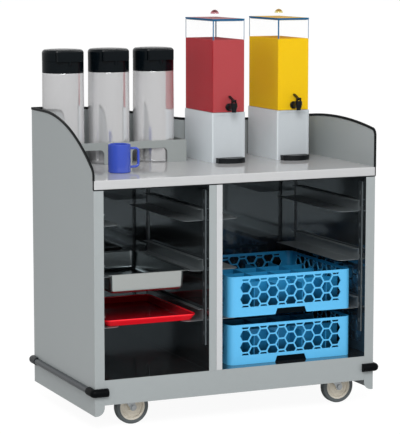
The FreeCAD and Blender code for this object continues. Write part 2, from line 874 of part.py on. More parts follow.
def upright(x, y, z):
    """A slotted strip on a bay wall that the slides hook into."""
    body = new_body("slide_upright", x, y, z)
    length = f"({CABINET_TOP} - upright_end - {FLOOR} - upright_start)"
    pad(body, "yz", "0", "upright_depth", rectangle("0", "upright_width", "0", length))
    count = int(size(f"{length} - upright_slot_height") // size("upright_slot_pitch"))
    first = f"({length} - {count - 1} * upright_slot_pitch - upright_slot_height) / 2"
    edge = "(upright_width - upright_slot_width) / 2"
    slot = rectangle(edge, f"{edge} + upright_slot_width", first, f"{first} + upright_slot_height")
    cut = pocket(body, "yz", "0", "upright_depth", slot)
    repeat(body, cut, "z", "upright_slot_pitch", count)
    return body


def slide(inward, ledge):
    """The maker of a bent slide: a ledge with a rounded front corner, an upright web and a narrow lip."""
    def make(x, y, z):
        body = new_body("tray_slide", x, y, z)
        tip = f"{inward} * {ledge}"
        plate = [
            ("0", "0"),
            (f"{tip} - {inward} * slide_corner_radius", "0", "slide_corner_radius", inward),
            (tip, "slide_corner_radius"),
            (tip, "slide_length"),
            ("0", "slide_length"),
        ]
        pad(body, "xy", "-slide_wall", "0", plate)
        web = f"{inward} * slide_wall"
        lip = f"{inward} * slide_lip"
        top = "(slide_web - slide_wall)"
        low = f"{top} - slide_wall"
        hook = [("0", "0"), (web, "0"), (web, low), (lip, low), (lip, top), ("0", top)]
        pad(body, "xz", "0", "slide_length", hook)
        return body
    return make


def slides():
    """Slotted uprights at the front and back of each bay wall, and the slides at each level."""
    uprights = []
    rails = []
    front = f"(-{HALF_D} + slide_front)"
    stations = (f"{front} - upright_lead", f"{front} + slide_length + upright_lead - upright_width")
    for face, inward, ledges in bay_walls():
        x = face if inward > 0 else f"{face} - upright_depth"
        for y in stations:
            uprights.append(once("slide_upright", upright, x, y, f"{FLOOR} + upright_start"))
        for step, ledge in enumerate(ledges):
            kind = f"tray_slide {inward} {ledge}"
            back = f"{face} + {inward} * upright_depth"
            level = f"{SLIDE_FIRST} + {step} * {SLIDE_PITCH}"
            rails.append(once(kind, slide(inward, ledge), back, front, level))
    group("slide_uprights", uprights)
    group("tray_slides", rails)


# Casters
def hexagon(u, v, radius):
    """A six-sided outline, corners on the left and right."""
    high = ROOT_3 / 2
    return [
        (f"{u} + {radius}", v),
        (f"{u} + {radius} / 2", f"{v} + {radius} * {high}"),
        (f"{u} - {radius} / 2", f"{v} + {radius} * {high}"),
        (f"{u} - {radius}", v),
        (f"{u} - {radius} / 2", f"{v} - {radius} * {high}"),
        (f"{u} + {radius} / 2", f"{v} - {radius} * {high}"),
    ]


def caster_plate(x, y, z):
    """A top plate with a race below it."""
    body = new_body("caster_plate", x, y, z)
    bottom = "(caster_height - plate_thickness)"
    race = f"({bottom} - race_height)"
    half = ("-plate_length / 2", "plate_length / 2", "-plate_width / 2", "plate_width / 2")
    pad(body, "xy", bottom, "caster_height", rectangle(*half))
    pad(body, "xy", race, bottom, circles=[("0", "0", "race_radius")])
    pocket(body, "xy", race, "caster_height", circles=[("0", "0", "kingpin_radius")])
    holes = [
        (f"{u} * plate_bolt_x / 2", f"{v} * plate_bolt_y / 2", "plate_bolt_radius")
        for u in (-1, 1) for v in (-1, 1)
    ]
    pocket(body, "xy", bottom, "caster_height", circles=holes)
    return body


def kingpin(x, y, z):
    """The pin that the fork turns on, riveted through the plate, with a head below the fork's crown."""
    body = new_body("caster_kingpin", x, y, z)
    head_top = f"({FORK_TOP} - fork_wall - swivel_gap)"
    head = f"({head_top} - kingpin_head_height)"
    crown = "(caster_height + channel_wall)"
    outline = [
        ("0", head),
        ("kingpin_head_radius", head),
        ("kingpin_head_radius", head_top),
        ("kingpin_radius", head_top),
        ("kingpin_radius", crown),
        ("0", crown),
    ]
    revolve(body, "xz", outline)
    return body


def plate_bolt(x, y, z):
    body = new_body("plate_bolt", x, y, z)
    bottom = "(caster_height - plate_thickness)"
    top = "(caster_height + channel_wall)"
    pad(body, "xy", f"{bottom} - plate_bolt_head_height", bottom, hexagon("0", "0", "plate_bolt_head"))
    pad(body, "xy", bottom, top, circles=[("0", "0", "plate_bolt_radius")])
    pad(body, "xy", top, f"{top} + plate_bolt_head_height", hexagon("0", "0", "plate_bolt_head"))
    return body


def fork_leg(braked):
    """A leg's outline: from the crown back to the axle boss, with an ear for a brake's pin."""
    left = "-fork_leg_half"
    outline = [(left, f"{FORK_TOP} - fork_leg_half"), (left, FORK_TOP), ("fork_leg_half", FORK_TOP)]
    if braked:
        outline += [
            (BRAKE_X, f"{BRAKE_Z} + brake_ear_radius", "brake_ear_radius", -1),
            (f"{BRAKE_X} + brake_ear_radius", BRAKE_Z, "brake_ear_radius", -1),
            (BRAKE_X, f"{BRAKE_Z} - brake_ear_radius"),
        ]
    outline += [
        ("caster_trail + fork_boss_radius", "wheel_radius", "fork_boss_radius", -1),
        ("caster_trail", "wheel_radius - fork_boss_radius", "fork_boss_radius", -1),
        ("caster_trail - fork_boss_radius", "wheel_radius"),
    ]
    return outline


def fork(braked):
    """The maker of a pressed fork: a crown that turns on the kingpin, and two legs."""
    def make(x, y, z):
        body = new_body("caster_fork", x, y, z)
        crown = [("0", "0", "fork_crown_radius"), ("0", "0", "kingpin_radius + run_clear")]
        pad(body, "xy", f"{FORK_TOP} - fork_wall", FORK_TOP, circles=crown)
        holes = [("caster_trail", "wheel_radius", "axle_radius")]
        if braked:
            holes.append((BRAKE_X, BRAKE_Z, "brake_pin_radius"))
        pad(body, "xz", f"-{LEG_OUTER}", f"-{LEG_INNER}", fork_leg(braked), circles=holes)
        pad(body, "xz", LEG_INNER, LEG_OUTER, fork_leg(braked), circles=holes)
        return body
    return make


def axle_bolt(x, y, z):
    body = new_body("axle_bolt", x, y, z)
    pad(body, "xz", f"-{LEG_OUTER}", LEG_OUTER, circles=[("0", "0", "axle_radius")])
    head = hexagon("0", "0", "axle_head_radius")
    pad(body, "xz", f"-{LEG_OUTER} - axle_head_height", f"-{LEG_OUTER}", head)
    pad(body, "xz", LEG_OUTER, f"{LEG_OUTER} + axle_head_height", head)
    return body


def brake_pin(x, y, z):
    body = new_body("brake_pin", x, y, z)
    pad(body, "xz", f"-{LEG_OUTER}", LEG_OUTER, circles=[("0", "0", "brake_pin_radius")])
    return body


def tyre(x, y, z):
    """A soft tread with rounded shoulders, bonded to the wheel's rim."""
    body = new_body("caster_tyre", x, y, z)
    rim = "(wheel_radius - tyre_depth)"
    half = "wheel_width / 2"
    section = [
        (rim, f"-{half}"),
        ("wheel_radius - tyre_shoulder", f"-{half}", "tyre_shoulder", 1),
        ("wheel_radius", f"-{half} + tyre_shoulder"),
        ("wheel_radius", f"{half} - tyre_shoulder", "tyre_shoulder", 1),
        ("wheel_radius - tyre_shoulder", half),
        (rim, half),
    ]
    revolve(body, "xy", section)
    return body


def wheel_centre(x, y, z):
    """A moulded centre: a hub that runs on the axle, a thin web and a rim."""
    body = new_body("caster_wheel", x, y, z)
    rim = "(wheel_radius - tyre_depth)"
    bore = "axle_radius + run_clear"
    hub_end = f"({LEG_INNER} - hub_play)"
    inner_rim = f"({rim} - rim_depth)"
    profile = [
        (bore, f"-{hub_end}"),
        ("hub_radius", f"-{hub_end}"),
        ("hub_radius", "-web_thickness / 2"),
        (inner_rim, "-web_thickness / 2"),
        (inner_rim, "-rim_width / 2"),
        (rim, "-rim_width / 2"),
        (rim, "rim_width / 2"),
        (inner_rim, "rim_width / 2"),
        (inner_rim, "web_thickness / 2"),
        ("hub_radius", "web_thickness / 2"),
        ("hub_radius", hub_end),
        (bore, hub_end),
    ]
    revolve(body, "xy", profile)
    return body


def brake_pedal(x, y, z):
    """A pedal on the fork's ears: a hub tube, a tread that rises outwards and a shoe over the tyre."""
    body = new_body("brake_pedal", x, y, z)
    half = f"({LEG_INNER} - hub_play)"
    root = "(brake_pin_radius + 2 * run_clear)"
    under = "(-brake_tread_thickness / 2)"
    tread = [
        (root, under),
        ("brake_tread_length", f"{under} + brake_tread_rise"),
        ("brake_tread_length", f"{under} + brake_tread_rise + brake_tread_thickness"),
        (root, f"{under} + brake_tread_thickness"),
    ]
    hub = [("0", "0", "brake_hub_radius"), ("0", "0", "brake_pin_radius + run_clear")]
    pad(body, "xz", f"-{half}", half, circles=hub)
    pad(body, "xz", f"-{half}", half, tread)
    shoe = rectangle(
        "brake_shoe_offset", "brake_shoe_offset + brake_shoe_width",
        "-brake_shoe_length", "brake_tread_thickness",
    )
    pad(body, "xz", "-wheel_width / 4", "wheel_width / 4", shoe)
    return body


def casters():
    """Four swivel casters, the rear pair with brakes: bolted plates, forks, axles and wheels."""
    mounts = []
    for _, x, y in caster_places():
        mounts.append(once("caster_plate", caster_plate, x, y, "0"))
        mounts.append(once("caster_kingpin", kingpin, x, y, "0"))
    mounts += [once("plate_bolt", plate_bolt, x, y, "0") for x, y in plate_bolt_places()]
    group("caster_mounts", mounts)
    for name, x, y in caster_places():
        braked = name.startswith("rear")
        axle = (f"{x} + caster_trail", y, "wheel_radius")
        pivot = (f"{x} + {BRAKE_X}", y, BRAKE_Z)
        frame = [once(f"caster_fork {braked}", fork(braked), x, y, "0"), once("axle_bolt", axle_bolt, *axle)]
        if braked:
            frame.append(once("brake_pin", brake_pin, *pivot))
            node(once("brake_pedal", brake_pedal, *pivot), f"brake_pedal_{name}")
        group(f"caster_fork_{name}", frame)
        node(once("caster_tyre", tyre, *axle), f"caster_tyre_{name}")
        node(once("caster_wheel", wheel_centre, *axle), f"caster_wheel_{name}")


# Airpots
def pot_casing(x, y, z):
    """A tapered steel casing, open at the neck."""
    body = new_body("pot_casing", x, y, z)
    shoulder = "(pot_body_height - pot_wall)"
    wall = [
        ("0", "0"),
        ("pot_foot_radius - pot_foot_chamfer", "0"),
        ("pot_foot_radius", "pot_foot_chamfer"),
        ("pot_top_radius", "pot_body_height"),
        ("pot_neck_radius", "pot_body_height"),
        ("pot_neck_radius", shoulder),
        ("pot_top_radius - pot_wall", shoulder),
        ("pot_foot_radius - pot_wall", "pot_foot_chamfer"),
        ("pot_foot_radius - pot_foot_chamfer - pot_wall", "pot_wall"),
        ("0", "pot_wall"),
    ]
    revolve(body, "xz", wall)
    return body


def pot_vessel(x, y, z):
    """The insulated inner vessel, which hangs from the casing's shoulder."""
    body = new_body("pot_vessel", x, y, z)
    shoulder = "(pot_body_height - pot_wall)"
    cup = [
        ("0", "vessel_lift"),
        ("vessel_radius", "vessel_lift"),
        ("vessel_radius", shoulder),
        ("vessel_radius - pot_wall", shoulder),
        ("vessel_radius - pot_wall", "vessel_lift + pot_wall"),
        ("0", "vessel_lift + pot_wall"),
    ]
    revolve(body, "xz", cup)
    return body


def pot_head(x, y, z):
    """A moulded pump head: a rounded cap with a split line, a button well, a pump tube and a wide beak."""
    body = new_body("pot_head", x, y, z)
    split = "(pot_body_height + head_split)"
    well = "(button_radius + button_gap)"
    well_floor = f"({POT_TOP} - button_well)"
    profile = [
        ("pot_top_radius - head_wall", "pot_body_height"),
        ("pot_top_radius", "pot_body_height"),
        ("pot_top_radius", f"{split} - head_groove"),
        ("pot_top_radius - head_groove", split),
        ("pot_top_radius", f"{split} + head_groove"),
        ("pot_top_radius", f"{POT_TOP} - head_edge_radius", "head_edge_radius", 1),
        ("pot_top_radius - head_edge_radius", POT_TOP),
        (well, POT_TOP),
        (well, well_floor),
        ("0", well_floor),
        ("0", f"{well_floor} - head_wall"),
        (f"{well} + head_wall", f"{well_floor} - head_wall"),
        (f"{well} + head_wall", f"{POT_TOP} - head_wall"),
        ("pot_top_radius - head_edge_radius", f"{POT_TOP} - head_wall"),
        ("pot_top_radius - head_wall", f"{POT_TOP} - head_edge_radius"),
    ]
    revolve(body, "xz", profile)
    tube = [("0", "0", "pump_tube_radius")]
    pad(body, "xy", "vessel_lift + pump_tube_lift", f"{well_floor} - head_wall", circles=tube)
    back = "(head_wall - sqrt(pot_top_radius ^ 2 - (spout_width / 2) ^ 2))"
    front = "(-pot_top_radius - spout_reach)"
    corner = "spout_corner_radius"
    beak = [
        ("-spout_width / 2", back),
        ("-spout_width / 2", f"{front} + {corner}", corner, 1),
        (f"-spout_width / 2 + {corner}", front),
        (f"spout_width / 2 - {corner}", front, corner, 1),
        ("spout_width / 2", f"{front} + {corner}"),
        ("spout_width / 2", back),
    ]
    pad(body, "xy", split, f"{POT_TOP} - spout_top_drop", beak)
    nozzle = [("0", f"{front} + spout_nozzle_radius + spout_nozzle_inset", "spout_nozzle_radius")]
    pad(body, "xy", f"{split} - spout_nozzle_length", split, circles=nozzle)
    return body


def pot_button(x, y, z):
    """The push button in the head's well, on a stem that stops it at the end of its travel."""
    body = new_body("pot_button", x, y, z)
    top = f"({POT_TOP} + button_proud)"
    under = f"({top} - button_thickness)"
    stem = f"({POT_TOP} - button_well + button_travel + button_proud)"
    edge = "(button_thickness / 3)"
    cap = [
        ("0", stem),
        ("button_stem_radius", stem),
        ("button_stem_radius", under),
        ("button_radius", under),
        ("button_radius", f"{top} - {edge}", edge, 1),
        (f"button_radius - {edge}", top),
        ("0", top),
    ]
    revolve(body, "xz", cap)
    return body


def airpots():
    """Three like airpots in a row behind the corral."""
    y = f"{CORRAL_FRONT} + corral_wall + pot_front_gap + pot_foot_radius"
    for index in range(POTS):
        x = f"{CORRAL_LEFT} + pot_side_gap + pot_foot_radius + {index} * (2 * pot_foot_radius + pot_space)"
        spot = (x, y, "worktop_height")
        number = index + 1
        shells = [once("pot_casing", pot_casing, *spot), once("pot_vessel", pot_vessel, *spot)]
        group(f"airpot_body_{number}", shells)
        node(once("pot_head", pot_head, *spot), f"airpot_head_{number}")
        node(once("pot_button", pot_button, *spot), f"airpot_button_{number}")


def corral():
    """A folded fence round the airpots: a band on three legs, with rounded windows, and an end wall."""
    body = new_body("airpot_corral")
    foot = "worktop_height"
    top = f"({foot} + corral_height)"
    band = f"({top} - corral_band)"
    middle = f"(({CORRAL_LEFT} + {CORRAL_RIGHT}) / 2)"
    windows = (
        (f"({middle} + corral_middle_leg / 2)", f"({CORRAL_RIGHT} - corral_leg)"),
        (f"({CORRAL_LEFT} + corral_leg)", f"({middle} - corral_middle_leg / 2)"),
    )
    outline = [(CORRAL_LEFT, foot), (CORRAL_LEFT, top), (CORRAL_RIGHT, top), (CORRAL_RIGHT, foot)]
    for left, right in windows:
        outline += [
            (right, foot),
            (right, f"{band} - corral_corner_radius", "corral_corner_radius", 1),
            (f"{right} - corral_corner_radius", band),
            (f"{left} + corral_corner_radius", band, "corral_corner_radius", 1),
            (left, f"{band} - corral_corner_radius"),
            (left, foot),
        ]
    pad(body, "xz", CORRAL_FRONT, f"{CORRAL_FRONT} + corral_wall", outline)
    wall = rectangle(f"{CORRAL_FRONT} + corral_wall", BACK_INNER, foot, top)
    pad(body, "yz", f"{CORRAL_RIGHT} - corral_wall", CORRAL_RIGHT, wall)
    node(body, "airpot_corral")


# Drink dispensers, each drawn about the middle of its front face at worktop level
def inset_box(inset, radius):
    """The dispenser's plan, drawn in by a distance on every side."""
    half = "dispenser_width / 2"
    return rounded(
        f"(-{half} + {inset})", f"({half} - ({inset}))",
        f"({inset})", f"(dispenser_depth - ({inset}))", radius,
    )


def dispenser_base(x, y, z):
    """A moulded stand, open below, with a shallow panel in its front."""
    body = new_body("dispenser_base", x, y, z)
    half = "dispenser_width / 2"
    panel = rounded(
        f"(-{half} + base_panel_inset)", f"({half} - base_panel_inset)",
        "base_panel_inset", "(base_height - base_panel_inset)", "base_panel_radius",
    )
    pad(body, "xy", "0", "base_height", inset_box("0", "base_corner_radius"))
    pocket(body, "xy", "0", "base_height - base_wall", inset_box("base_wall", "base_corner_radius / 2"))
    pocket(body, "xz", "0", "base_panel_depth", panel)
    return body


def dispenser_tank(x, y, z):
    """A clear open box with a hole for the spigot low in its front wall."""
    body = new_body("dispenser_tank", x, y, z)
    pad(body, "xy", "base_height", TANK_RIM, inset_box("tank_inset", "tank_corner_radius"))
    pocket(body, "xy", "base_height + tank_floor", TANK_RIM, inset_box(TANK_INNER, "tank_corner_radius / 2"))
    hole = [("0", SPIGOT_Z, "spigot_shank_radius + spigot_shank_play")]
    pocket(body, "xz", "tank_inset", TANK_INNER, circles=hole)
    return body


def drink(x, y, z):
    """The drink as a solid that fills the tank to its level, cut clear of the spigot's nut."""
    body = new_body("drink", x, y, z)
    wet = f"({TANK_INNER} + drink_gap)"
    plan = inset_box(wet, "tank_corner_radius / 2")
    pad(body, "xy", "base_height + tank_floor", "base_height + drink_level", plan)
    nut = [("0", SPIGOT_Z, "spigot_nut_radius + drink_gap")]
    pocket(body, "xz", wet, f"{TANK_INNER} + spigot_nut_depth + drink_gap", circles=nut)
    return body


def dispenser_lid(x, y, z):
    """A flat loose lid with a lip inside the tank and a mushroom knob."""
    body = new_body("dispenser_lid", x, f"{y} + dispenser_depth / 2", z)
    top = f"({TANK_RIM} + lid_thickness)"
    seat = f"({top} + knob_stem_height)"
    plan = ("dispenser_width", "dispenser_depth")
    lip = f"({TANK_INNER} + lid_play)"
    pad(body, "xy", TANK_RIM, top, plan_box(*plan, "lid_inset", "tank_corner_radius"))
    pad(body, "xy", f"{TANK_RIM} - lid_lip", TANK_RIM, plan_box(*plan, lip, "tank_corner_radius / 2"))
    pocket(
        body, "xy", f"{TANK_RIM} - lid_lip", TANK_RIM,
        plan_box(*plan, f"{lip} + lid_lip_wall", "tank_corner_radius / 2"),
    )
    dome = "(knob_radius ^ 2 + knob_height ^ 2) / (2 * knob_height)"
    knob = [
        ("0", top),
        ("knob_stem_radius", top),
        ("knob_stem_radius", seat),
        ("knob_radius", seat, dome, 1),
        ("0", f"{seat} + knob_height"),
    ]
    revolve(body, "xz", knob)
    return body


def spigot(x, y, z):
    """A tap through the tank's front wall: collar, shank and nut, a body, a nozzle and a clevis."""
    body = new_body("spigot", x, y, z)
    face = "tank_inset"
    collar = f"({face} - spigot_collar_depth)"
    pad(body, "xz", collar, face, circles=[("0", SPIGOT_Z, "spigot_collar_radius")])
    pad(body, "xz", face, TANK_INNER, circles=[("0", SPIGOT_Z, "spigot_shank_radius")])
    nut = [("0", SPIGOT_Z, "spigot_nut_radius")]
    pad(body, "xz", TANK_INNER, f"{TANK_INNER} + spigot_nut_depth", circles=nut)
    pad(body, "xz", SPIGOT_Y, collar, circles=[("0", SPIGOT_Z, "spigot_shank_radius")])
    top = f"({SPIGOT_Z} + spigot_body_rise)"
    low = f"({SPIGOT_Z} - spigot_body_drop)"
    pad(body, "xy", low, top, circles=[("0", SPIGOT_Y, "spigot_body_radius")])
    nozzle = [("0", SPIGOT_Y, "spigot_nozzle_radius")]
    pad(body, "xy", f"{SPIGOT_Z} - spigot_nozzle_drop", low, circles=nozzle)
    ear = [
        (f"{SPIGOT_Y} - lever_hub_radius", top),
        (f"{SPIGOT_Y} + lever_hub_radius", top),
        (f"{SPIGOT_Y} + lever_hub_radius", LEVER_Z, "lever_hub_radius", 1),
        (SPIGOT_Y, f"{LEVER_Z} + lever_hub_radius", "lever_hub_radius", 1),
        (f"{SPIGOT_Y} - lever_hub_radius", LEVER_Z),
    ]
    hole = [(SPIGOT_Y, LEVER_Z, "lever_pin_radius + run_clear")]
    pad(body, "yz", f"-{EAR_OUTER}", f"-{EAR_INNER}", ear, circles=hole)
    pad(body, "yz", EAR_INNER, EAR_OUTER, ear, circles=hole)
    return body


def lever_bar(start):
    """The lever's bar from a distance along it to its round tip, leaning back from its pivot."""
    half = "(lever_thickness / 2)"

    def along(run, rise):
        return (
            f"({run}) * cos(lever_angle) - ({rise}) * sin(lever_angle)",
            f"({run}) * sin(lever_angle) + ({rise}) * cos(lever_angle)",
        )

    return [
        along(start, f"-{half}"),
        along(f"lever_length - {half}", f"-{half}") + (half, 1),
        along("lever_length", "0") + (half, 1),
        along(f"lever_length - {half}", half),
        along(start, half),
    ]


def spigot_lever(x, y, z):
    """A lever on a pin in the spigot's clevis, with a wider grip."""
    body = new_body("spigot_lever", x, f"{y} + {SPIGOT_Y}", f"{z} + {LEVER_Z}")
    half = "lever_hub_width / 2"
    pad(body, "yz", f"-{half}", half, circles=[("0", "0", "lever_hub_radius")])
    pad(body, "yz", f"-{EAR_OUTER}", EAR_OUTER, circles=[("0", "0", "lever_pin_radius")])
    pad(body, "yz", f"-{half}", half, lever_bar("0"))
    pad(body, "yz", "-lever_width / 2", "lever_width / 2", lever_bar("lever_grip_start"))
    return body


def drip_tray(x, y, z):
    """A low bow-fronted tray before the base, with a slotted top."""
    body = new_body("drip_tray", x, f"{y} - drip_gap", z)
    half = "drip_width / 2"
    bow = "(drip_width ^ 2 / 4 + drip_bow ^ 2) / (2 * drip_bow)"
    outline = [(half, "0"), (f"-{half}", "0"), (f"-{half}", "-drip_side", bow, 1), (half, "-drip_side")]
    pad(body, "xy", "0", "drip_height", outline)
    count = int(size("drip_width - 2 * drip_margin") // size("drip_slot_pitch"))
    left = f"(-{count - 1} * drip_slot_pitch / 2 - drip_slot_width / 2)"
    slot = rectangle(left, f"{left} + drip_slot_width", "-drip_side - drip_margin / 2", "-drip_margin")
    cut = pocket(body, "xy", "drip_height - drip_slot_depth", "drip_height", slot)
    repeat(body, cut, "x", "drip_slot_pitch", count)
    return body


def dispensers():
    """Two like dispensers between the corral and the right guard."""
    half = "dispenser_width / 2"
    y = f"({BACK_INNER} - dispenser_back_gap - dispenser_depth)"
    hands = (
        ("left", f"({CORRAL_RIGHT} + dispenser_left_gap + {half})"),
        ("right", f"({SIDE_INNER} - dispenser_right_gap - {half})"),
    )
    makers = (
        ("dispenser_base", dispenser_base),
        ("dispenser_tank", dispenser_tank),
        ("drink", drink),
        ("dispenser_lid", dispenser_lid),
        ("spigot", spigot),
        ("spigot_lever", spigot_lever),
        ("drip_tray", drip_tray),
    )
    for hand, x in hands:
        for kind, make in makers:
            node(once(kind, make, x, y, "worktop_height"), f"{kind}_{hand}")


# What stands on the worktop and in the bays
def mug():
    x = f"(-{HALF_W} + mug_from_left)"
    y = f"(-{HALF_D} + mug_from_front)"
    body = new_body("mug", x, y, "worktop_height")
    bore = "(mug_radius - mug_wall)"
    cup = [
        ("0", "0"),
        ("mug_radius - mug_foot_radius", "0", "mug_foot_radius", 1),
        ("mug_radius", "mug_foot_radius"),
        ("mug_radius", "mug_height - mug_wall / 2", "mug_wall / 2", 1),
        ("mug_radius - mug_wall / 2", "mug_height", "mug_wall / 2", 1),
        (bore, "mug_height - mug_wall / 2"),
        (bore, "mug_base"),
        ("0", "mug_base"),
    ]
    revolve(body, "xz", cup)
    root = "(mug_radius - mug_wall / 2)"
    out = "(mug_radius + handle_reach)"
    top = "(mug_height - handle_top)"
    low = "handle_bottom"
    spine = [
        (root, top),
        (f"{out} - handle_bend", top, "handle_bend", -1),
        (out, f"{top} - handle_bend"),
        (out, f"{low} + handle_bend", "handle_bend", -1),
        (f"{out} - handle_bend", low),
        (root, low),
    ]
    path = new_sketch(body, "xz", "0", [spine], closed=False)
    ring = new_sketch(body, "yz", root, circles=[("0", top, "handle_radius")])
    handle = body.newObject("PartDesign::AdditivePipe", "Handle")
    handle.Profile = ring
    handle.Spine = (path, [f"Edge{number}" for number in range(1, len(spine))])
    body.Tip = handle
    node(body, "mug")


def plan_box(width, length, inset, radius):
    """A rounded rectangle about the body's own middle, drawn in by a distance on every side."""
    return rounded(
        f"(-{width} / 2 + {inset})", f"({width} / 2 - ({inset}))",
        f"(-{length} / 2 + {inset})", f"({length} / 2 - ({inset}))", radius,
    )


def pan():
    """A deep-drawn pan that hangs by its rim on the middle slides: tapered walls under a flat rim."""
    x = f"({WALL_LEFT} + left_bay_width / 2)"
    y = f"({BACK_INNER} - pan_back_gap - pan_length / 2)"
    body = new_body("pan", x, y, f"{SLIDE_FIRST} + {SLIDE_PITCH}")
    bottom = "-(pan_depth)"
    plan = ("pan_width", "pan_length")
    foot_radius = "(pan_corner_radius - pan_taper)"
    rim = plan_box(*plan, "0", "pan_rim_radius")
    outer_top = plan_box(*plan, "pan_rim", "pan_corner_radius")
    outer_foot = plan_box(*plan, "pan_rim + pan_taper", foot_radius)
    inner_top = plan_box(*plan, "pan_rim + pan_wall", "pan_corner_radius - pan_wall")
    inner_foot = plan_box(*plan, "pan_rim + pan_taper + pan_wall", f"{foot_radius} - pan_wall")
    pad(body, "xy", "0", "pan_wall", rim)
    loft(body, "Additive", ("0", outer_top), (bottom, outer_foot))
    pocket(body, "xy", "0", "pan_wall", inner_top)
    loft(body, "Subtractive", ("0", inner_top), (f"{bottom} + pan_wall", inner_foot))
    node(body, "steel_pan")


def serving_tray():
    """A moulded tray on the lowest slides, with flared sides and a rolled rim."""
    x = f"({WALL_LEFT} + left_bay_width / 2)"
    y = f"(-{HALF_D} + tray_setback + tray_length / 2)"
    body = new_body("tray", x, y, SLIDE_FIRST)
    plan = ("tray_width", "tray_length")
    foot_radius = "(tray_corner_radius - tray_flare)"
    rim_low = "(tray_height - tray_wall)"
    rim = plan_box(*plan, "0", "tray_corner_radius")
    outer_foot = plan_box(*plan, "tray_flare", foot_radius)
    inner_rim = plan_box(*plan, "tray_wall", "tray_corner_radius - tray_wall")
    inner_foot = plan_box(*plan, "tray_flare + tray_wall", f"{foot_radius} - tray_wall")
    loft(body, "Additive", ("0", outer_foot), (rim_low, rim))
    pad(body, "xy", rim_low, "tray_height", rim)
    loft(body, "Subtractive", ("tray_wall", inner_foot), (rim_low, inner_rim))
    pocket(body, "xy", rim_low, "tray_height", inner_rim)
    node(body, "serving_tray")


def comb_column(u, shifted):
    """One column of a honeycomb: whole cells, and cells cut off level at the band's edges."""
    cell = "(comb_pitch / 1.5)"
    hole = f"({cell} - comb_rib / {ROOT_3})"
    pitch = f"({cell} * {ROOT_3})"
    flat = f"({hole} * {ROOT_3 / 2})"
    if shifted:
        whole = ["comb_height"]
        cut_at = f"{pitch}"
    else:
        whole = [f"comb_height + {pitch} / 2", f"comb_height - {pitch} / 2"]
        cut_at = f"1.5 * {pitch}"
    outlines = [hexagon(u, height, hole) for height in whole]
    near = f"({cut_at} - {flat})"
    if shifted:
        side = f"({hole} - (comb_half_band - {cut_at}) / {ROOT_3})"
        for sign in (1, -1):
            outlines.append([
                (f"{u} - {hole} / 2", f"comb_height + {sign} * {near}"),
                (f"{u} + {hole} / 2", f"comb_height + {sign} * {near}"),
                (f"{u} + {hole}", f"comb_height + {sign} * {cut_at}"),
                (f"{u} + {side}", f"comb_height + {sign} * comb_half_band"),
                (f"{u} - {side}", f"comb_height + {sign} * comb_half_band"),
                (f"{u} - {hole}", f"comb_height + {sign} * {cut_at}"),
            ])
        return outlines
    spread = f"({hole} / 2 + (comb_half_band - {near}) / {ROOT_3})"
    for sign in (1, -1):
        outlines.append([
            (f"{u} - {hole} / 2", f"comb_height + {sign} * {near}"),
            (f"{u} + {hole} / 2", f"comb_height + {sign} * {near}"),
            (f"{u} + {spread}", f"comb_height + {sign} * comb_half_band"),
            (f"{u} - {spread}", f"comb_height + {sign} * comb_half_band"),
        ])
    return outlines


def glass_rack(x, y, z):
    """A moulded glass rack: four honeycomb walls with hand notches, and a drained floor."""
    body = new_body("glass_rack", x, y, z)
    plan = ("rack_size", "rack_size")
    half = "(rack_size / 2)"
    pad(body, "xy", "0", "rack_height", plan_box(*plan, "0", "rack_corner_radius"))
    well = plan_box(*plan, "rack_wall", "rack_corner_radius - rack_wall")
    pocket(body, "xy", "rack_wall", "rack_height", well)
    first = f"(-{(COMB_COLUMNS - 1) / 2} * comb_pitch)"
    for plane, axis in (("xz", "x"), ("yz", "y")):
        for shifted in (False, True):
            start = f"({first} + comb_pitch)" if shifted else first
            count = COMB_COLUMNS // 2 if shifted else COMB_COLUMNS // 2 + 1
            cut = pocket(body, plane, f"-{half}", half, *comb_column(start, shifted))
            repeat(body, cut, axis, "2 * comb_pitch", count)
    notch = [
        ("-notch_width / 2", "0"),
        ("notch_width / 2", "0"),
        ("notch_width / 2 - notch_slant", "notch_height"),
        ("-notch_width / 2 + notch_slant", "notch_height"),
    ]
    for plane in ("xz", "yz"):
        pocket(body, plane, f"-{half}", f"-{half} + notch_depth", notch)
        pocket(body, plane, f"{half} - notch_depth", half, notch)
    hole = "drain_hole / 2"
    lowest = f"(-{(CELLS - 1) / 2} * {CELL})"
    drains = [
        rectangle(
            f"{lowest} + {column} * {CELL} - {hole}", f"{lowest} + {column} * {CELL} + {hole}",
            f"{lowest} - {hole}", f"{lowest} + {hole}",
        )
        for column in range(CELLS)
    ]
    cut = pocket(body, "xy", "0", "rack_wall", *drains)
    repeat(body, cut, "y", CELL, CELLS)
    return body


def cell_strip(plane):
    """The maker of one strip of a rack's egg-crate, halved over the strips that cross it."""
    end = "(rack_size / 2 - rack_wall - cell_end_gap)"
    lap = "cell_height / 2"
    slack = "(cell_wall / 2 + cell_lap_gap)"
    crossings = [f"{number - (CELLS - 2) / 2} * {CELL}" for number in range(CELLS - 1)]
    if plane == "xz":
        outline = [(f"-{end}", "0"), (end, "0"), (end, "cell_height")]
        for spot in reversed(crossings):
            outline += [
                (f"{spot} + {slack}", "cell_height"),
                (f"{spot} + {slack}", f"{lap} - cell_lap_gap"),
                (f"{spot} - {slack}", f"{lap} - cell_lap_gap"),
                (f"{spot} - {slack}", "cell_height"),
            ]
        outline.append((f"-{end}", "cell_height"))
    else:
        outline = [(f"-{end}", "cell_height"), (f"-{end}", "0")]
        for spot in crossings:
            outline += [
                (f"{spot} - {slack}", "0"),
                (f"{spot} - {slack}", lap),
                (f"{spot} + {slack}", lap),
                (f"{spot} + {slack}", "0"),
            ]
        outline += [(end, "0"), (end, "cell_height")]

    def make(x, y, z):
        body = new_body("cell_strip", x, y, z)
        pad(body, plane, "-cell_wall / 2", "cell_wall / 2", outline)
        return body
    return make


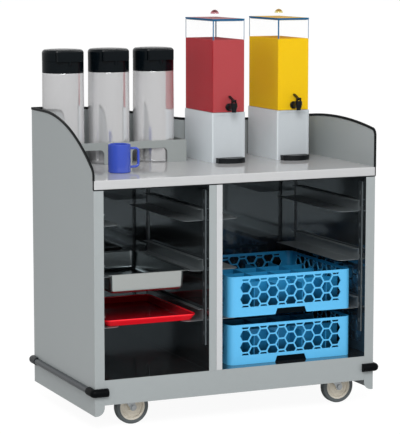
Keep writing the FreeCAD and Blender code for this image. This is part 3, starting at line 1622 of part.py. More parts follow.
def racks():
    """Two like glass racks in the right bay, one on the floor and one on the lowest slides."""
    x = f"(({DIVIDER_RIGHT} + {WALL_RIGHT}) / 2 + rack_shift)"
    y = f"(-{HALF_D} + rack_setback + rack_size / 2)"
    for name, level in (("lower", FLOOR), ("upper", SLIDE_FIRST)):
        node(once("glass_rack", glass_rack, x, y, level), f"glass_rack_{name}")
        strips = []
        for number in range(CELLS - 1):
            shift = f"{number - (CELLS - 2) / 2} * {CELL}"
            foot = f"{level} + rack_wall"
            strips.append(once("cell_strip across", cell_strip("xz"), x, f"{y} + {shift}", foot))
            strips.append(once("cell_strip along", cell_strip("yz"), f"{x} + {shift}", y, foot))
        group(f"rack_cells_{name}", strips)


side_panel("side_panel_left", -1, guard_left_edge)
side_panel("side_panel_right", 1, guard_right_edge)
group("side_liners", [side_liner(side) for side in (-1, 1)])
back_panel()
cabinet_floor()
front_rail()
centre_divider()
worktop()
guard_trim()
bumpers()
slides()
casters()
corral()
airpots()
dispensers()
mug()
pan()
serving_tray()
racks()
doc.recompute()

# Checks: nothing failed, every pocket cut, every piece a valid solid
for thing in doc.Objects:
    if "Invalid" in thing.State or "Error" in thing.State:
        raise RuntimeError(f"{thing.Label} failed to build: {thing.State}")
for cut in pockets:
    if cut.Shape.Volume >= cut.BaseFeature.Shape.Volume:
        raise RuntimeError(f"{cut.Label} cuts nothing")
for piece in nodes:
    if piece.Shape.isNull() or not piece.Shape.isValid() or not piece.Shape.Solids:
        raise RuntimeError(f"{piece.Label} has no valid solid")

os.makedirs("parts", exist_ok=True)
for piece in nodes:
    piece.Shape.exportStep(f"parts/{piece.Label}.step")
print(len(nodes), "pieces written")
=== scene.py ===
"""The looks of a hydration cart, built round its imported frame. Metres, +X right, +Y back, +Z up."""
import json
import math

import bmesh
import bpy
import numpy as np
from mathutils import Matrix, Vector


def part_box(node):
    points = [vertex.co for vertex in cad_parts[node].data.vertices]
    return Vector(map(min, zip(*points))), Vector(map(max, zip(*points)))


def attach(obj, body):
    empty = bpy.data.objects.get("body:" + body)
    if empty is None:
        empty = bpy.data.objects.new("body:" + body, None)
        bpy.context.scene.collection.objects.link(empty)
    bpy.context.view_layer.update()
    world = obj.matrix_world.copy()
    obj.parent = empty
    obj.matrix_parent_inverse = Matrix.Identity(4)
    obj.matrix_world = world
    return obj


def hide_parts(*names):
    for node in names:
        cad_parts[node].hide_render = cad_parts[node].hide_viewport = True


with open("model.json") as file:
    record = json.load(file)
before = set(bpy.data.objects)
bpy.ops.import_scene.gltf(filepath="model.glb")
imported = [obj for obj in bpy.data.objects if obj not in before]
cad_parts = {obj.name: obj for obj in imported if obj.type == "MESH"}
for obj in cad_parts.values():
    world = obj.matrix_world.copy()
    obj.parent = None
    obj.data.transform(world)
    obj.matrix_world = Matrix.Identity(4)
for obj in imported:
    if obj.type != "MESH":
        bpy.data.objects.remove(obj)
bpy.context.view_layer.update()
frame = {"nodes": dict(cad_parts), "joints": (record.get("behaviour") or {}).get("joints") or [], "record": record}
nodes = frame["nodes"]
BODY_OF = {
    node: body for body, members in frame["record"]["behaviour"]["bodies"].items() for node in members
}
SLOT_OF = {part["node"]: part["material_slot"] for part in frame["record"]["subparts"]}

MM = 0.001
HANDS = ("left", "right")
LEVELS = ("lower", "upper")

# How finely shapes are drawn
FINE_STEPS = 96
TURN_STEPS = 72
SMALL_STEPS = 48
PIN_STEPS = 32
CORNER_STEPS = 8
FILLET_STEPS = 5

# How close to its axis a turned outline comes before a flat face closes it, the tightest carried corner,
# and the angle in radians below which a bend counts as straight
AXIS = 0.5 * MM
LEAST_CORNER = 0.4 * MM
STRAIGHT = 1e-3

# Degrees past which an edge is sharp on a new piece, and is broken on a copy of a frame node
SMOOTH_ANGLE = 35
EDGE_ANGLE = 40

# Copies of frame nodes: the gap between points that is closed, and the degrees between facets merged
MERGE_GAP = 0.005 * MM
FLAT_ANGLE = 0.3

# The share of a face's direction past which it counts as looking that way
LOOKING = 0.5

# The photograph's camera: focal length in pixels of a 400 by 434 frame, place, turn, dip and reach
FOCAL_PIXELS = 1974.28
FRAME_PIXELS = 434
SENSOR_MM = 36
CAMERA_PLACE = (-2.975285, -6.682358, 1.692983)
CAMERA_YAW = 23.937
CAMERA_DIP = 7.724
CAMERA_FAR = 100

# Soft panels: name, place, what they face, width and height, and power in watts
PANELS = (
    ("front panel", (2.6, -4.6, 3.4), (0.1, 0, 0.6), (3.0, 2.4), 30),
    ("left panel", (-2.2, -4.65, 4.3), (0.1, 0, 0.9), (2.6, 2.2), 226),
)

# The floor's half width, the grey and the glow that the camera sees on it, and the room's light by height
FLOOR_REACH = 200
FLOOR_SHADE = (0.1, 0.1, 0.1, 1)
FLOOR_GLOW = 0.94
HORIZON_LIGHT = 1.0
ZENITH_LIGHT = 0.55


def mm(*lengths):
    """Lengths given in millimetres, in metres."""
    return [length * MM for length in lengths]


# Shader groups: the fine noise's scale over the broad one's, and the depth of a full grain
FINE_TO_BROAD = 9.0
GRAIN_DEPTH = 0.2 * MM


def linear(code):
    """A display colour such as #8e9396 as the linear colour that a shader takes, by the sRGB curve."""
    shown = np.array([int(code[at:at + 2], 16) for at in (1, 3, 5)]) / 255
    light = np.where(shown <= 0.04045, shown / 12.92, ((shown + 0.055) / 1.055) ** 2.4)
    return (*light.tolist(), 1.0)


def new_group(name, inputs, outputs):
    """An empty shader group with named sockets: (name, kind, default) in, (name, kind) out."""
    group = bpy.data.node_groups.new(name, "ShaderNodeTree")
    for label, kind, default in inputs:
        socket = group.interface.new_socket(label, in_out="INPUT", socket_type=f"NodeSocket{kind}")
        if default is not None:
            socket.default_value = default
    for label, kind in outputs:
        group.interface.new_socket(label, in_out="OUTPUT", socket_type=f"NodeSocket{kind}")
    return group, group.nodes.new("NodeGroupInput").outputs, group.nodes.new("NodeGroupOutput").inputs


def add(tree, kind, links=(), **settings):
    """A node in a tree, with settings, and (input, socket or value) pairs for its inputs."""
    node = tree.nodes.new(f"ShaderNode{kind}")
    for key, value in settings.items():
        setattr(node, key, value)
    for socket, source in links:
        if hasattr(source, "is_linked"):
            tree.links.new(source, node.inputs[socket])
        else:
            node.inputs[socket].default_value = source
    return node


def make_mottle():
    """Soft clouds of tone and gloss: a broad and a fine noise shift a colour and a roughness."""
    group, given, out = new_group(
        "mottle",
        [("Vector", "Vector", None), ("Color", "Color", (0.5, 0.5, 0.5, 1)), ("Tone", "Float", 0.06),
         ("Roughness", "Float", 0.4), ("Spread", "Float", 0.08), ("Scale", "Float", 6.0)],
        [("Color", "Color"), ("Roughness", "Float")],
    )
    place = ("Vector", given["Vector"])
    broad = add(group, "TexNoise", [place, ("Scale", given["Scale"]), ("Detail", 3.0)])
    finer = add(group, "Math", [(0, given["Scale"]), (1, FINE_TO_BROAD)], operation="MULTIPLY")
    fine = add(group, "TexNoise", [place, ("Scale", finer.outputs[0]), ("Detail", 2.0)])
    both = add(group, "Math", [(0, broad.outputs[0]), (1, fine.outputs[0])], operation="ADD")
    centred = add(group, "Math", [(0, both.outputs[0]), (1, 1.0)], operation="SUBTRACT")
    shift = add(
        group, "Math", [(0, centred.outputs[0]), (1, given["Tone"]), (2, 1.0)], operation="MULTIPLY_ADD",
    )
    shade = add(group, "VectorMath", [(0, given["Color"]), (3, shift.outputs[0])], operation="SCALE")
    gloss = add(
        group, "Math", [(0, centred.outputs[0]), (1, given["Spread"]), (2, given["Roughness"])],
        operation="MULTIPLY_ADD", use_clamp=True,
    )
    group.links.new(shade.outputs[0], out["Color"])
    group.links.new(gloss.outputs[0], out["Roughness"])
    return group


def make_grain():
    """A noise drawn out along one axis, for brushed metal, or left even, for moulded plastic."""
    group, given, out = new_group(
        "grain", [("Vector", "Vector", None), ("Stretch", "Vector", (1, 1, 1)), ("Scale", "Float", 400.0)],
        [("Height", "Float")],
    )
    drawn = add(group, "VectorMath", [(0, given["Vector"]), (1, given["Stretch"])], operation="MULTIPLY")
    noise = add(
        group, "TexNoise", [("Vector", drawn.outputs[0]), ("Scale", given["Scale"]), ("Detail", 2.0)],
    )
    group.links.new(noise.outputs[0], out["Height"])
    return group


MOTTLE = make_mottle()
GRAIN = make_grain()


# Finishes
def new_material(name):
    """An empty finish: the material, its node tree and the shader in it."""
    made = bpy.data.materials.new(name)
    made.use_nodes = True
    return made, made.node_tree, made.node_tree.nodes["Principled BSDF"]


def finish(name, colour, roughness, tone=0.06, spread=0.08, scale=6.0, grain=400.0, stretch=(1, 1, 1),
           relief=0.02, **sockets):
    """A surface finish: mottled colour and gloss, a grain in relief, and plain values for other sockets."""
    made, tree, shader = new_material(name)
    place = ("Vector", add(tree, "TexCoord").outputs["Object"])
    mottle = add(tree, "Group", [
        place, ("Color", linear(colour)), ("Tone", tone), ("Roughness", roughness), ("Spread", spread),
        ("Scale", scale),
    ], node_tree=MOTTLE)
    tree.links.new(mottle.outputs["Color"], shader.inputs["Base Color"])
    tree.links.new(mottle.outputs["Roughness"], shader.inputs["Roughness"])
    height = add(tree, "Group", [place, ("Stretch", stretch), ("Scale", grain)], node_tree=GRAIN)
    bump = add(
        tree, "Bump", [("Strength", relief), ("Distance", GRAIN_DEPTH), ("Height", height.outputs[0])],
    )
    tree.links.new(bump.outputs[0], shader.inputs["Normal"])
    for socket, value in sockets.items():
        shader.inputs[socket.replace("_", " ").title().replace("Ior", "IOR")].default_value = value
    return made


def clear_sheet(name, face, face_alpha, edge_alpha, shine=0.15):
    """Clear acrylic: a thin colour on its faces, blue along the cut edges that its edge attribute marks."""
    made, tree, shader = new_material(name)
    rim = add(tree, "Attribute", attribute_name="edge").outputs["Fac"]
    place = add(tree, "TexCoord").outputs["Object"]
    clouds = add(tree, "TexNoise", [("Vector", place), ("Scale", 9.0)])
    colour = add(tree, "Mix", [("Factor", rim), (6, linear(face)), (7, linear(CUT_EDGE))], data_type="RGBA")
    alpha = add(tree, "MapRange", [("Value", rim), ("To Min", face_alpha), ("To Max", edge_alpha)])
    gloss = add(tree, "MapRange", [("Value", clouds.outputs[0]), ("To Min", 0.02), ("To Max", 0.06)])
    tree.links.new(colour.outputs[2], shader.inputs["Base Color"])
    tree.links.new(alpha.outputs[0], shader.inputs["Alpha"])
    tree.links.new(gloss.outputs[0], shader.inputs["Roughness"])
    shader.inputs["Specular IOR Level"].default_value = shine
    return made


def painted_shade_below(made, low, high, least):
    """Paint shade into a finish downwards: by height, from its full colour to a share of it."""
    tree = made.node_tree
    base = tree.nodes["Principled BSDF"].inputs["Base Color"]
    full = base.links[0].from_socket
    height = add(tree, "SeparateXYZ", [(0, add(tree, "TexCoord").outputs["Object"])]).outputs["Z"]
    share = add(tree, "MapRange", [
        ("Value", height), ("From Min", low), ("From Max", high), ("To Min", least), ("To Max", 1.0),
    ])
    shade = add(tree, "VectorMath", [(0, full), (3, share.outputs[0])], operation="SCALE")
    tree.links.new(shade.outputs[0], base)


ALONG_X = (0.02, 1, 1)
ALONG_Z = (1, 1, 0.02)
CUT_EDGE = "#155f89"
FINISHES = {
    "side_sheet": finish(
        "satin grey paint", "#999fa0", roughness=0.34, tone=0.03, spread=0.06, scale=6, grain=1500,
        relief=0.03,
    ),
    "worktop_steel": finish(
        "polished light top", "#b0b1b2", roughness=0.07, tone=0.02, spread=0.03, scale=3, relief=0,
        specular_ior_level=0.32,
    ),
    "liner_steel": finish(
        "dark polished liner", "#7a8083", roughness=0.08, tone=0.1, spread=0.04, scale=3, relief=0,
        metallic=0.93,
    ),
    "bright_trim": finish(
        "bright strip", "#c6c8ca", roughness=0.3, tone=0.02, spread=0.04, scale=5, grain=700,
        stretch=ALONG_Z, relief=0.02, metallic=0.2,
    ),
    "edge_trim": finish(
        "black edging", "#0b0e10", roughness=0.5, tone=0.15, spread=0.1, scale=20, grain=1200,
        relief=0.05, specular_ior_level=0.12,
    ),
    "corral_sheet": finish(
        "corral grey paint", "#8c9190", roughness=0.34, tone=0.03, spread=0.06, scale=6, grain=1500,
        relief=0.03,
    ),
    "bumper_grey": finish(
        "grey vinyl rail", "#252c31", roughness=0.3, tone=0.08, spread=0.1, scale=12, grain=900,
        relief=0.05, specular_ior_level=0.42,
    ),
    "bumper_black": finish(
        "black rubber cap", "#040608", roughness=0.45, tone=0.15, spread=0.1, scale=20, grain=1100,
        relief=0.06, specular_ior_level=0.06,
    ),
    "slide_steel": finish(
        "satin slide steel", "#8d9497", roughness=0.3, tone=0.06, spread=0.06, scale=8, relief=0,
        metallic=0.7,
    ),
    "zinc_plate": finish(
        "bright zinc", "#b5b9bb", roughness=0.3, tone=0.08, spread=0.12, scale=30, grain=600,
        relief=0.04, metallic=1.0,
    ),
    "tyre_grey": finish(
        "grey tread", "#5c6264", roughness=0.55, tone=0.08, spread=0.08, scale=25, grain=1300,
        relief=0.08,
    ),
    "wheel_cream": finish(
        "cream nylon", "#e6dfd0", roughness=0.4, tone=0.05, spread=0.08, scale=25, grain=1400,
        relief=0.04,
    ),
    "pot_steel": finish(
        "satin white pot", "#e8e8e9", roughness=0.06, tone=0.02, spread=0.03, scale=4, grain=500,
        stretch=ALONG_Z, relief=0.002, metallic=0.66,
    ),
    "pot_black": finish(
        "black pump head", "#060c10", roughness=0.24, tone=0.08, spread=0.04, scale=14, relief=0,
        specular_ior_level=0.14,
    ),
    "base_grey": finish(
        "moulded grey stand", "#b7bdc1", roughness=0.3, tone=0.03, spread=0.06, scale=7, grain=1600,
        relief=0.02,
    ),
    "drink_red": finish(
        "red drink", "#a63c40", roughness=0.02, tone=0.05, spread=0.01, scale=4, relief=0,
        specular_ior_level=0.25,
    ),
    "drink_yellow": finish(
        "yellow drink", "#e2b700", roughness=0.03, tone=0.06, spread=0.02, scale=5, relief=0,
        specular_ior_level=0.02,
    ),
    "spigot_black": finish(
        "black tap plastic", "#0c1013", roughness=0.3, tone=0.12, spread=0.1, scale=30, grain=1500,
        relief=0.04, specular_ior_level=0.2,
    ),
    "mug_blue": finish(
        "blue glaze", "#344cb0", roughness=0.1, tone=0.06, spread=0.05, scale=18, grain=800,
        relief=0.02, coat_weight=0.4,
    ),
    "pan_steel": finish(
        "satin pan steel", "#c2c6c4", roughness=0.24, tone=0.05, spread=0.06, scale=9, grain=600,
        stretch=ALONG_X, relief=0.006, metallic=1.0,
    ),
    "tray_red": finish(
        "red tray", "#fc1a2a", roughness=0.1, tone=0.06, spread=0.05, scale=12, grain=1000, relief=0.02,
    ),
    "rack_blue": finish(
        "moulded blue rack", "#59b6e8", roughness=0.34, tone=0.05, spread=0.08, scale=10, grain=1500,
        relief=0.04,
    ),
    "clear_tank": clear_sheet("clear acrylic", "#f4f8fa", face_alpha=0.012, edge_alpha=0.92),
}
# Clear knobs and lids coloured like the drink under them: a painted reflection of the drink
DRINK_COLOURED_KNOBS = {
    hand: finish(
        f"{tint} knob in painted drink colour", colour, roughness=0.02, tone=0.01, spread=0.01, scale=9, relief=0,
        transmission_weight=1.0,
    )
    for hand, tint, colour in (("left", "rosy", "#bd7983"), ("right", "golden", "#dccf82"))
}
DRINK_COLOURED_LIDS = {
    hand: clear_sheet(f"{tint} lid in painted drink colour", colour, face_alpha=0.8, edge_alpha=0.95, shine=0.0)
    for hand, tint, colour in (("left", "rosy", "#b98a8a"), ("right", "golden", "#e8bd68"))
}
SURFACES = {
    hand: finish(
        f"still {tint} surface", colour, roughness=0.9, tone=0.05, spread=0.04, scale=scale, relief=0,
        specular_ior_level=0.0,
    )
    for hand, tint, colour, scale in (("left", "red", "#a9454a", 4), ("right", "yellow", "#dfae2e", 5))
}
# A darker copy of the pan steel for its inside: painted shade
PAN_SHADED_INSIDE = finish(
    "shaded pan steel", "#858c8e", roughness=0.2, tone=0.06, spread=0.05, scale=9, grain=600,
    stretch=ALONG_X, relief=0.006, metallic=1.0,
)
# A darker copy of the tray red for its floor and inner sides: painted shade
TRAY_SHADED_FLOOR = finish(
    "shaded red tray floor", "#960b18", roughness=0.12, tone=0.06, spread=0.05, scale=12, grain=1000,
    relief=0.02, specular_ior_level=0.15,
)
REAR_CAPS = finish(
    "dark grey rear cap", "#14191d", roughness=0.4, tone=0.1, spread=0.1, scale=20, grain=1100,
    relief=0.05, specular_ior_level=0.25,
)
# A darker copy of the slide steel for the uprights' sides: painted shade
UPRIGHT_SHADED_SIDES = finish(
    "shaded upright sides", "#4c5255", roughness=0.3, tone=0.06, spread=0.06, scale=8, relief=0,
    metallic=0.7,
)
# A darker, deeper copy of the drink red for its sides: painted shade
RED_SHADED_SIDES = finish(
    "shaded red sides", "#a61c27", roughness=0.02, tone=0.05, spread=0.01, scale=4, relief=0,
    specular_ior_level=0.1,
)
# A lighter copy of the stand grey for the stands' sides: painted light
BASE_LIT_SIDES = finish(
    "lit stand sides", "#d4dbdf", roughness=0.3, tone=0.03, spread=0.06, scale=7, grain=1600,
    relief=0.02,
)
# A near-black finish for the plates that paint the shadow in the racks' hand notches
RACK_SHADE = finish(
    "shaded rack grip", "#030a10", roughness=0.6, tone=0.05, spread=0.08, scale=10, grain=1500,
    relief=0.04, specular_ior_level=0.03,
)
# The worktop's front faces: a satin finish, in a slightly lighter grey that is painted light
LIT_APRON = finish(
    "satin apron with painted light", "#b7b8b9", roughness=0.26, tone=0.02, spread=0.04, scale=3, grain=900,
    stretch=ALONG_X, relief=0.01,
)
# A deeper blue for the racks' insides and cells: painted shade
SHADED_RACK_CELLS = {
    level: finish(
        f"shaded blue {level} strips", "#1f82b6", roughness=0.36, tone=0.05, spread=0.08, scale=10,
        grain=1500, relief=0.04,
    )
    for level in LEVELS
}


# Shapes as arrays
def fillet(corners, radii, steps=FILLET_STEPS):
    """A polyline (n, 2) with each corner of radius r replaced by its tangent arc."""
    corners = np.asarray(corners, float)
    runs = [corners[:1]]
    for before, corner, after, radius in zip(corners, corners[1:], corners[2:], radii):
        to_before = (before - corner) / np.linalg.norm(before - corner)
        to_after = (after - corner) / np.linalg.norm(after - corner)
        half = math.acos(np.clip(to_before @ to_after, -1, 1)) / 2
        if radius <= 0 or abs(half - math.pi / 2) < STRAIGHT:
            runs.append(corner[None])
            continue
        inward = (to_before + to_after) / np.linalg.norm(to_before + to_after)
        centre = corner + inward * radius / math.sin(half)
        start = corner + to_before * radius / math.tan(half) - centre
        end = corner + to_after * radius / math.tan(half) - centre
        share = np.linspace(0, 1, steps + 1)[:, None]
        spread = math.pi - 2 * half
        turn = np.sin((1 - share) * spread) * start + np.sin(share * spread) * end
        runs.append(centre + turn / math.sin(spread))
    runs.append(corners[-1:])
    return np.concatenate(runs)


def turned(profile, centre, axis="z", steps=TURN_STEPS):
    """A profile (radius, height) turned about an upright or a fore-and-aft axis through the centre."""
    angle = np.linspace(0, 2 * math.pi, steps, endpoint=False)
    radius = profile[:, :1]
    height = np.broadcast_to(profile[:, 1:], (len(profile), steps))
    across = radius * np.cos(angle)
    around = radius * np.sin(angle)
    points = (across, around, height) if axis == "z" else (around, height, across)
    return np.stack(points, axis=-1) + np.asarray(centre, float)


def rounded_rings(half_x, half_y, radius, runs, steps=CORNER_STEPS):
    """Rounded rectangles, one per row of half sizes and radii: a quarter turn about each corner, with
    points on the straight sides at the given runs before and after it."""
    runs = np.asarray(runs, float)
    quarter = np.linspace(0, math.pi / 2, steps + 1)
    turn = np.concatenate((runs * 0, quarter, runs * 0 + math.pi / 2))
    shift = np.tile(np.concatenate((-runs[::-1], quarter * 0, runs)), 4)
    angle = (turn[None] + np.arange(4)[:, None] * math.pi / 2).ravel()
    sign_x = np.repeat([1, -1, -1, 1], len(turn))
    sign_y = np.repeat([1, 1, -1, -1], len(turn))
    x = sign_x * (half_x - radius) + radius * np.cos(angle) - shift * np.sin(angle)
    y = sign_y * (half_y - radius) + radius * np.sin(angle) + shift * np.cos(angle)
    return x, y


def boxed(profile, half_x, half_y, radius, centre, runs=()):
    """A profile (inset, height) carried round a rounded rectangle. Corners tighten as the inset grows, or
    take their radius from a table of insets and radii."""
    inset = profile[:, :1]
    corner = np.interp(inset, *radius) if isinstance(radius, tuple) else radius - inset
    corner = np.clip(corner, LEAST_CORNER, None)
    x, y = rounded_rings(half_x - inset, half_y - inset, corner, runs)
    z = np.broadcast_to(profile[:, 1:], x.shape)
    return np.stack((x, y, z), axis=-1) + np.asarray(centre, float)


def swept(section, path, binormal):
    """A closed section (side, up) carried along a flat path; up is the path plane's normal."""
    path = np.asarray(path, float)
    along = np.gradient(path, axis=0)
    along /= np.linalg.norm(along, axis=1, keepdims=True)
    side = np.cross(binormal, along)
    section = np.asarray(section, float)
    upward = np.asarray(binormal, float)
    return path[:, None] + section[None, :, :1] * side[:, None] + section[None, :, 1:] * upward


def upright_path(spine, y):
    """A line (x, z) as a path (x, y, z) in the upright plane at y."""
    return np.stack((spine[:, 0], np.full(len(spine), y), spine[:, 1]), axis=1)


def soft_square(count, power):
    """A closed section between a circle and a square: the cosine and sine of an angle, each to a power."""
    angle = np.linspace(0, 2 * math.pi, count, endpoint=False)
    wave = np.stack((np.cos(angle), np.sin(angle)), axis=1)
    return np.sign(wave) * np.abs(wave) ** power


def ring_faces(rows, columns, loop):
    """Quads between neighbouring rows of rings. The last row meets the first, or both are faced over."""
    index = np.arange(rows * columns).reshape(rows, columns)
    right = np.roll(index, -1, axis=1)
    quads = np.stack((index, right, np.roll(right, -1, axis=0), np.roll(index, -1, axis=0)), axis=-1)
    if loop:
        return quads.reshape(-1, 4).tolist()
    return quads[:-1].reshape(-1, 4).tolist() + [index[0, ::-1].tolist(), index[-1].tolist()]


# Pieces
def new_piece(name, points, body, slot, material=None, stands_for=None, edge=None, loop=False):
    """Rows of rings (rows, columns, 3) as a mesh piece on a body, with its finish."""
    rows, columns = points.shape[:2]
    mesh = bpy.data.meshes.new(name)
    mesh.from_pydata(points.reshape(-1, 3).tolist(), [], ring_faces(rows, columns, loop))
    if edge is not None:
        attribute = mesh.attributes.new("edge", "FLOAT", "POINT")
        attribute.data.foreach_set("value", np.asarray(edge, np.float32).ravel())
    shape = bmesh.new()
    shape.from_mesh(mesh)
    bmesh.ops.recalc_face_normals(shape, faces=shape.faces)
    shape.to_mesh(mesh)
    shape.free()
    piece = dress(name, mesh, body, slot, material, stands_for)
    shading = piece.modifiers.new("flat faces shade flat", "WEIGHTED_NORMAL")
    shading.keep_sharp = True


def stand_in(name, points, node, **options):
    """A piece that stands for a node: on its body, in its finish."""
    new_piece(name, points, BODY_OF[node], SLOT_OF[node], stands_for=node, **options)


def dress(name, mesh, body, slot, material=None, stands_for=None, smooth_angle=SMOOTH_ANGLE):
    """Put a mesh in the scene on its body, smooth but for its sharp edges."""
    mesh.shade_smooth()
    mesh.set_sharp_from_angle(angle=math.radians(smooth_angle))
    mesh.materials.clear()
    mesh.materials.append(material or FINISHES[slot])
    piece = bpy.data.objects.new(name, mesh)
    bpy.context.scene.collection.objects.link(piece)
    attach(piece, body)
    if stands_for:
        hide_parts(stands_for)
    return piece


def eased(node, width, segments=2, material=None, cut_at=None):
    """A copy of a frame node with its facets merged and its edges broken, as folding and moulding do, and
    its faces parted at a height where two finishes meet."""
    shape = bmesh.new()
    shape.from_mesh(nodes[node].data)
    bmesh.ops.remove_doubles(shape, verts=shape.verts, dist=MERGE_GAP)
    flat = math.radians(FLAT_ANGLE)
    bmesh.ops.dissolve_limit(shape, angle_limit=flat, verts=shape.verts, edges=shape.edges)
    if cut_at is not None:
        parts = [*shape.verts, *shape.edges, *shape.faces]
        bmesh.ops.bisect_plane(shape, geom=parts, plane_co=(0, 0, cut_at), plane_no=(0, 0, 1))
    mesh = bpy.data.meshes.new(f"{node}_eased")
    shape.to_mesh(mesh)
    shape.free()
    piece = dress(f"{node}_eased", mesh, BODY_OF[node], SLOT_OF[node], material, node, EDGE_ANGLE)
    bevel = piece.modifiers.new("eased edges", "BEVEL")
    bevel.width = width
    bevel.segments = segments
    bevel.limit_method = "ANGLE"
    bevel.angle_limit = math.radians(EDGE_ANGLE)
    bevel.harden_normals = True


def line(name, material, chosen):
    """Another finish on those of a piece's faces that are chosen by their places and directions."""
    mesh = bpy.data.objects[name].data
    mesh.materials.append(material)
    place = np.empty(len(mesh.polygons) * 3, np.float32)
    facing = np.empty(len(mesh.polygons) * 3, np.float32)
    finishes = np.empty(len(mesh.polygons), np.int32)
    mesh.polygons.foreach_get("center", place)
    mesh.polygons.foreach_get("normal", facing)
    mesh.polygons.foreach_get("material_index", finishes)
    finishes[chosen(place.reshape(-1, 3), facing.reshape(-1, 3))] = len(mesh.materials) - 1
    mesh.polygons.foreach_set("material_index", finishes)


def sideways(place, facing):
    """Faces that look to the left or right."""
    return np.abs(facing[:, 0]) > LOOKING


def forwards(place, facing):
    """Faces that look to the front."""
    return facing[:, 1] < -LOOKING


def upwards(place, facing):
    """Faces that look up."""
    return facing[:, 2] > LOOKING


def near(place, spot, reach):
    """Places that lie within a reach of a spot, seen from above."""
    return np.all(np.abs(place[:, :2] - np.array(spot)[:2]) < reach, axis=1)


def middle(node):
    """The middle of a node's box, and its half sizes."""
    low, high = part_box(node)
    return (low + high) / 2, (high - low) / 2


def joint_place(name):
    """Where a joint's axis passes, in the frame."""
    return Vector(next(joint["pos_m"] for joint in frame["joints"] if joint["name"] == name))


# Cart: widths of broken edges, and depths of the divider's front post and of a tread
EDGE_WIDTHS_MM = {
    "worktop": 0.6, "airpot_corral": 0.5, "tray_slides": 0.4, "guard_edge_trim": 1.2, "bumper_rails": 0.8,
    "bumper_end_caps": 1.5, "centre_post_trim": 0.4, "side_panel_left": 0.4, "side_panel_right": 0.4,
    "front_rail": 0.4, "centre_divider": 0.4, "cabinet_floor": 0.4, "slide_uprights": 0.3,
}
POST_DEPTH = 20 * MM
TREAD_DEPTH = 14.4 * MM


def cart():
    """The cabinet's sheets, strips and rubber: copies with broken edges, some faces in a second finish."""
    for node, width in EDGE_WIDTHS_MM.items():
        eased(node, width * MM)
    low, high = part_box("centre_divider")
    post = low.y + POST_DEPTH
    bay_top = high.z
    liner = FINISHES["liner_steel"]
    line("centre_divider_eased", liner,
         lambda place, facing: (place[:, 1] > post) & sideways(place, facing))
    eased("back_panel", 0.3 * MM, cut_at=bay_top)
    line("back_panel_eased", liner,
         lambda place, facing: (place[:, 2] < bay_top) & forwards(place, facing))
    # The apron's lighter grey: painted light, on a satin finish
    line("worktop_eased", LIT_APRON, forwards)
    # The uprights' sides in darker steel: painted shade
    line("slide_uprights_eased", UPRIGHT_SHADED_SIDES, sideways)
    line("bumper_end_caps_eased", REAR_CAPS, lambda place, facing: place[:, 1] > 0)
    # A black strip that paints the shadow in the gap round the apron
    apron_gap_shadow()


def apron_gap_shadow():
    """A painted shadow of the gap round the front apron: a thin black strip, down, along and up again."""
    low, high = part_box("worktop")
    thick = 1.85 * MM
    setback = 1.1 * MM
    left, right, foot = low.x - thick, high.x + thick, low.z - thick
    spine = fillet([(left, high.z), (left, foot), (right, foot), (right, high.z)], mm(3, 3), steps=4)
    section = np.array([(-1, -1), (1, -1), (1, 1), (-1, 1)]) * thick
    path = upright_path(spine, low.y + setback)
    new_piece("apron_gap_shadow", swept(section, path, (0, 1, 0)), "cart", "edge_trim")


def casters():
    """Rounded treads, each a closed outline turned about its axle, wheel centres, and forks and brake
    pedals with broken edges."""
    for node in [name for name in nodes if name.startswith("caster_tyre")]:
        spot, half = middle(node)
        outer, side = half.x, half.y
        name = node.removeprefix("caster_tyre_")
        inner = outer - TREAD_DEPTH
        seat = side - 2 * MM
        section = fillet(
            [(inner, -seat), (inner, -side), (outer, -side), (outer, side), (inner, side), (inner, seat)],
            mm(1, 7, 7, 1), steps=8,
        )
        stand_in(f"tread_{name}", turned(section, spot, "y"), node, loop=True)
        wheel_centre(f"caster_wheel_{name}", inner)
        eased(f"caster_fork_{name}", 0.5 * MM)
        if name.startswith("rear"):
            eased(f"brake_pedal_{name}", 0.6 * MM)


def wheel_centre(node, rim):
    """A dished centre: one side's outline from the bore over the hub, the web and its raised ring to the
    rim, mirrored and turned about the axle."""
    spot, half = middle(node)
    bore = 5.3 * MM
    hub = half.y
    web = 6 * MM
    ring = web + 1.6 * MM
    face = 13.5 * MM
    side = [
        (bore, hub), (14 * MM, hub), (15 * MM, web), (29 * MM, web), (30 * MM, ring), (33 * MM, ring),
        (34 * MM, web), (39 * MM, web), (41 * MM, face), (rim, face),
    ]
    section = np.array(side[::-1] + [(radius, -height) for radius, height in side])
    section = fillet(section, mm(1) * (len(section) - 2), steps=2)
    stand_in(f"{node}_centre", turned(section, spot, "y"), node, loop=True)


# Airpots: heights over the worktop between which a painted shade darkens the casings, and the share that is left
POT_SHADE_LOW = 48 * MM
POT_SHADE_HIGH = 78 * MM
POT_SHADE_LEAST = 0.6


def airpots():
    """Three pots, whose casings darken towards the worktop with a painted shade."""
    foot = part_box("worktop")[1].z
    # Painted shade on the casings' feet, where the corral shades them
    painted_shade_below(FINISHES["pot_steel"], foot + POT_SHADE_LOW, foot + POT_SHADE_HIGH, POT_SHADE_LEAST)
    for number in (1, 2, 3):
        spot, half = middle(f"airpot_body_{number}")
        low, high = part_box(f"airpot_body_{number}")
        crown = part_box(f"airpot_head_{number}")[1]
        centre = (spot.x, spot.y, 0)
        shoulder = crown.y - spot.y
        split = (high.z + crown.z) / 2
        casing(number, centre, half.x, shoulder, low.z, high.z)
        pump_head(number, centre, shoulder, high.z, split, crown.z)
        beak(number, centre, split, crown.z)
        push_button(number, centre)


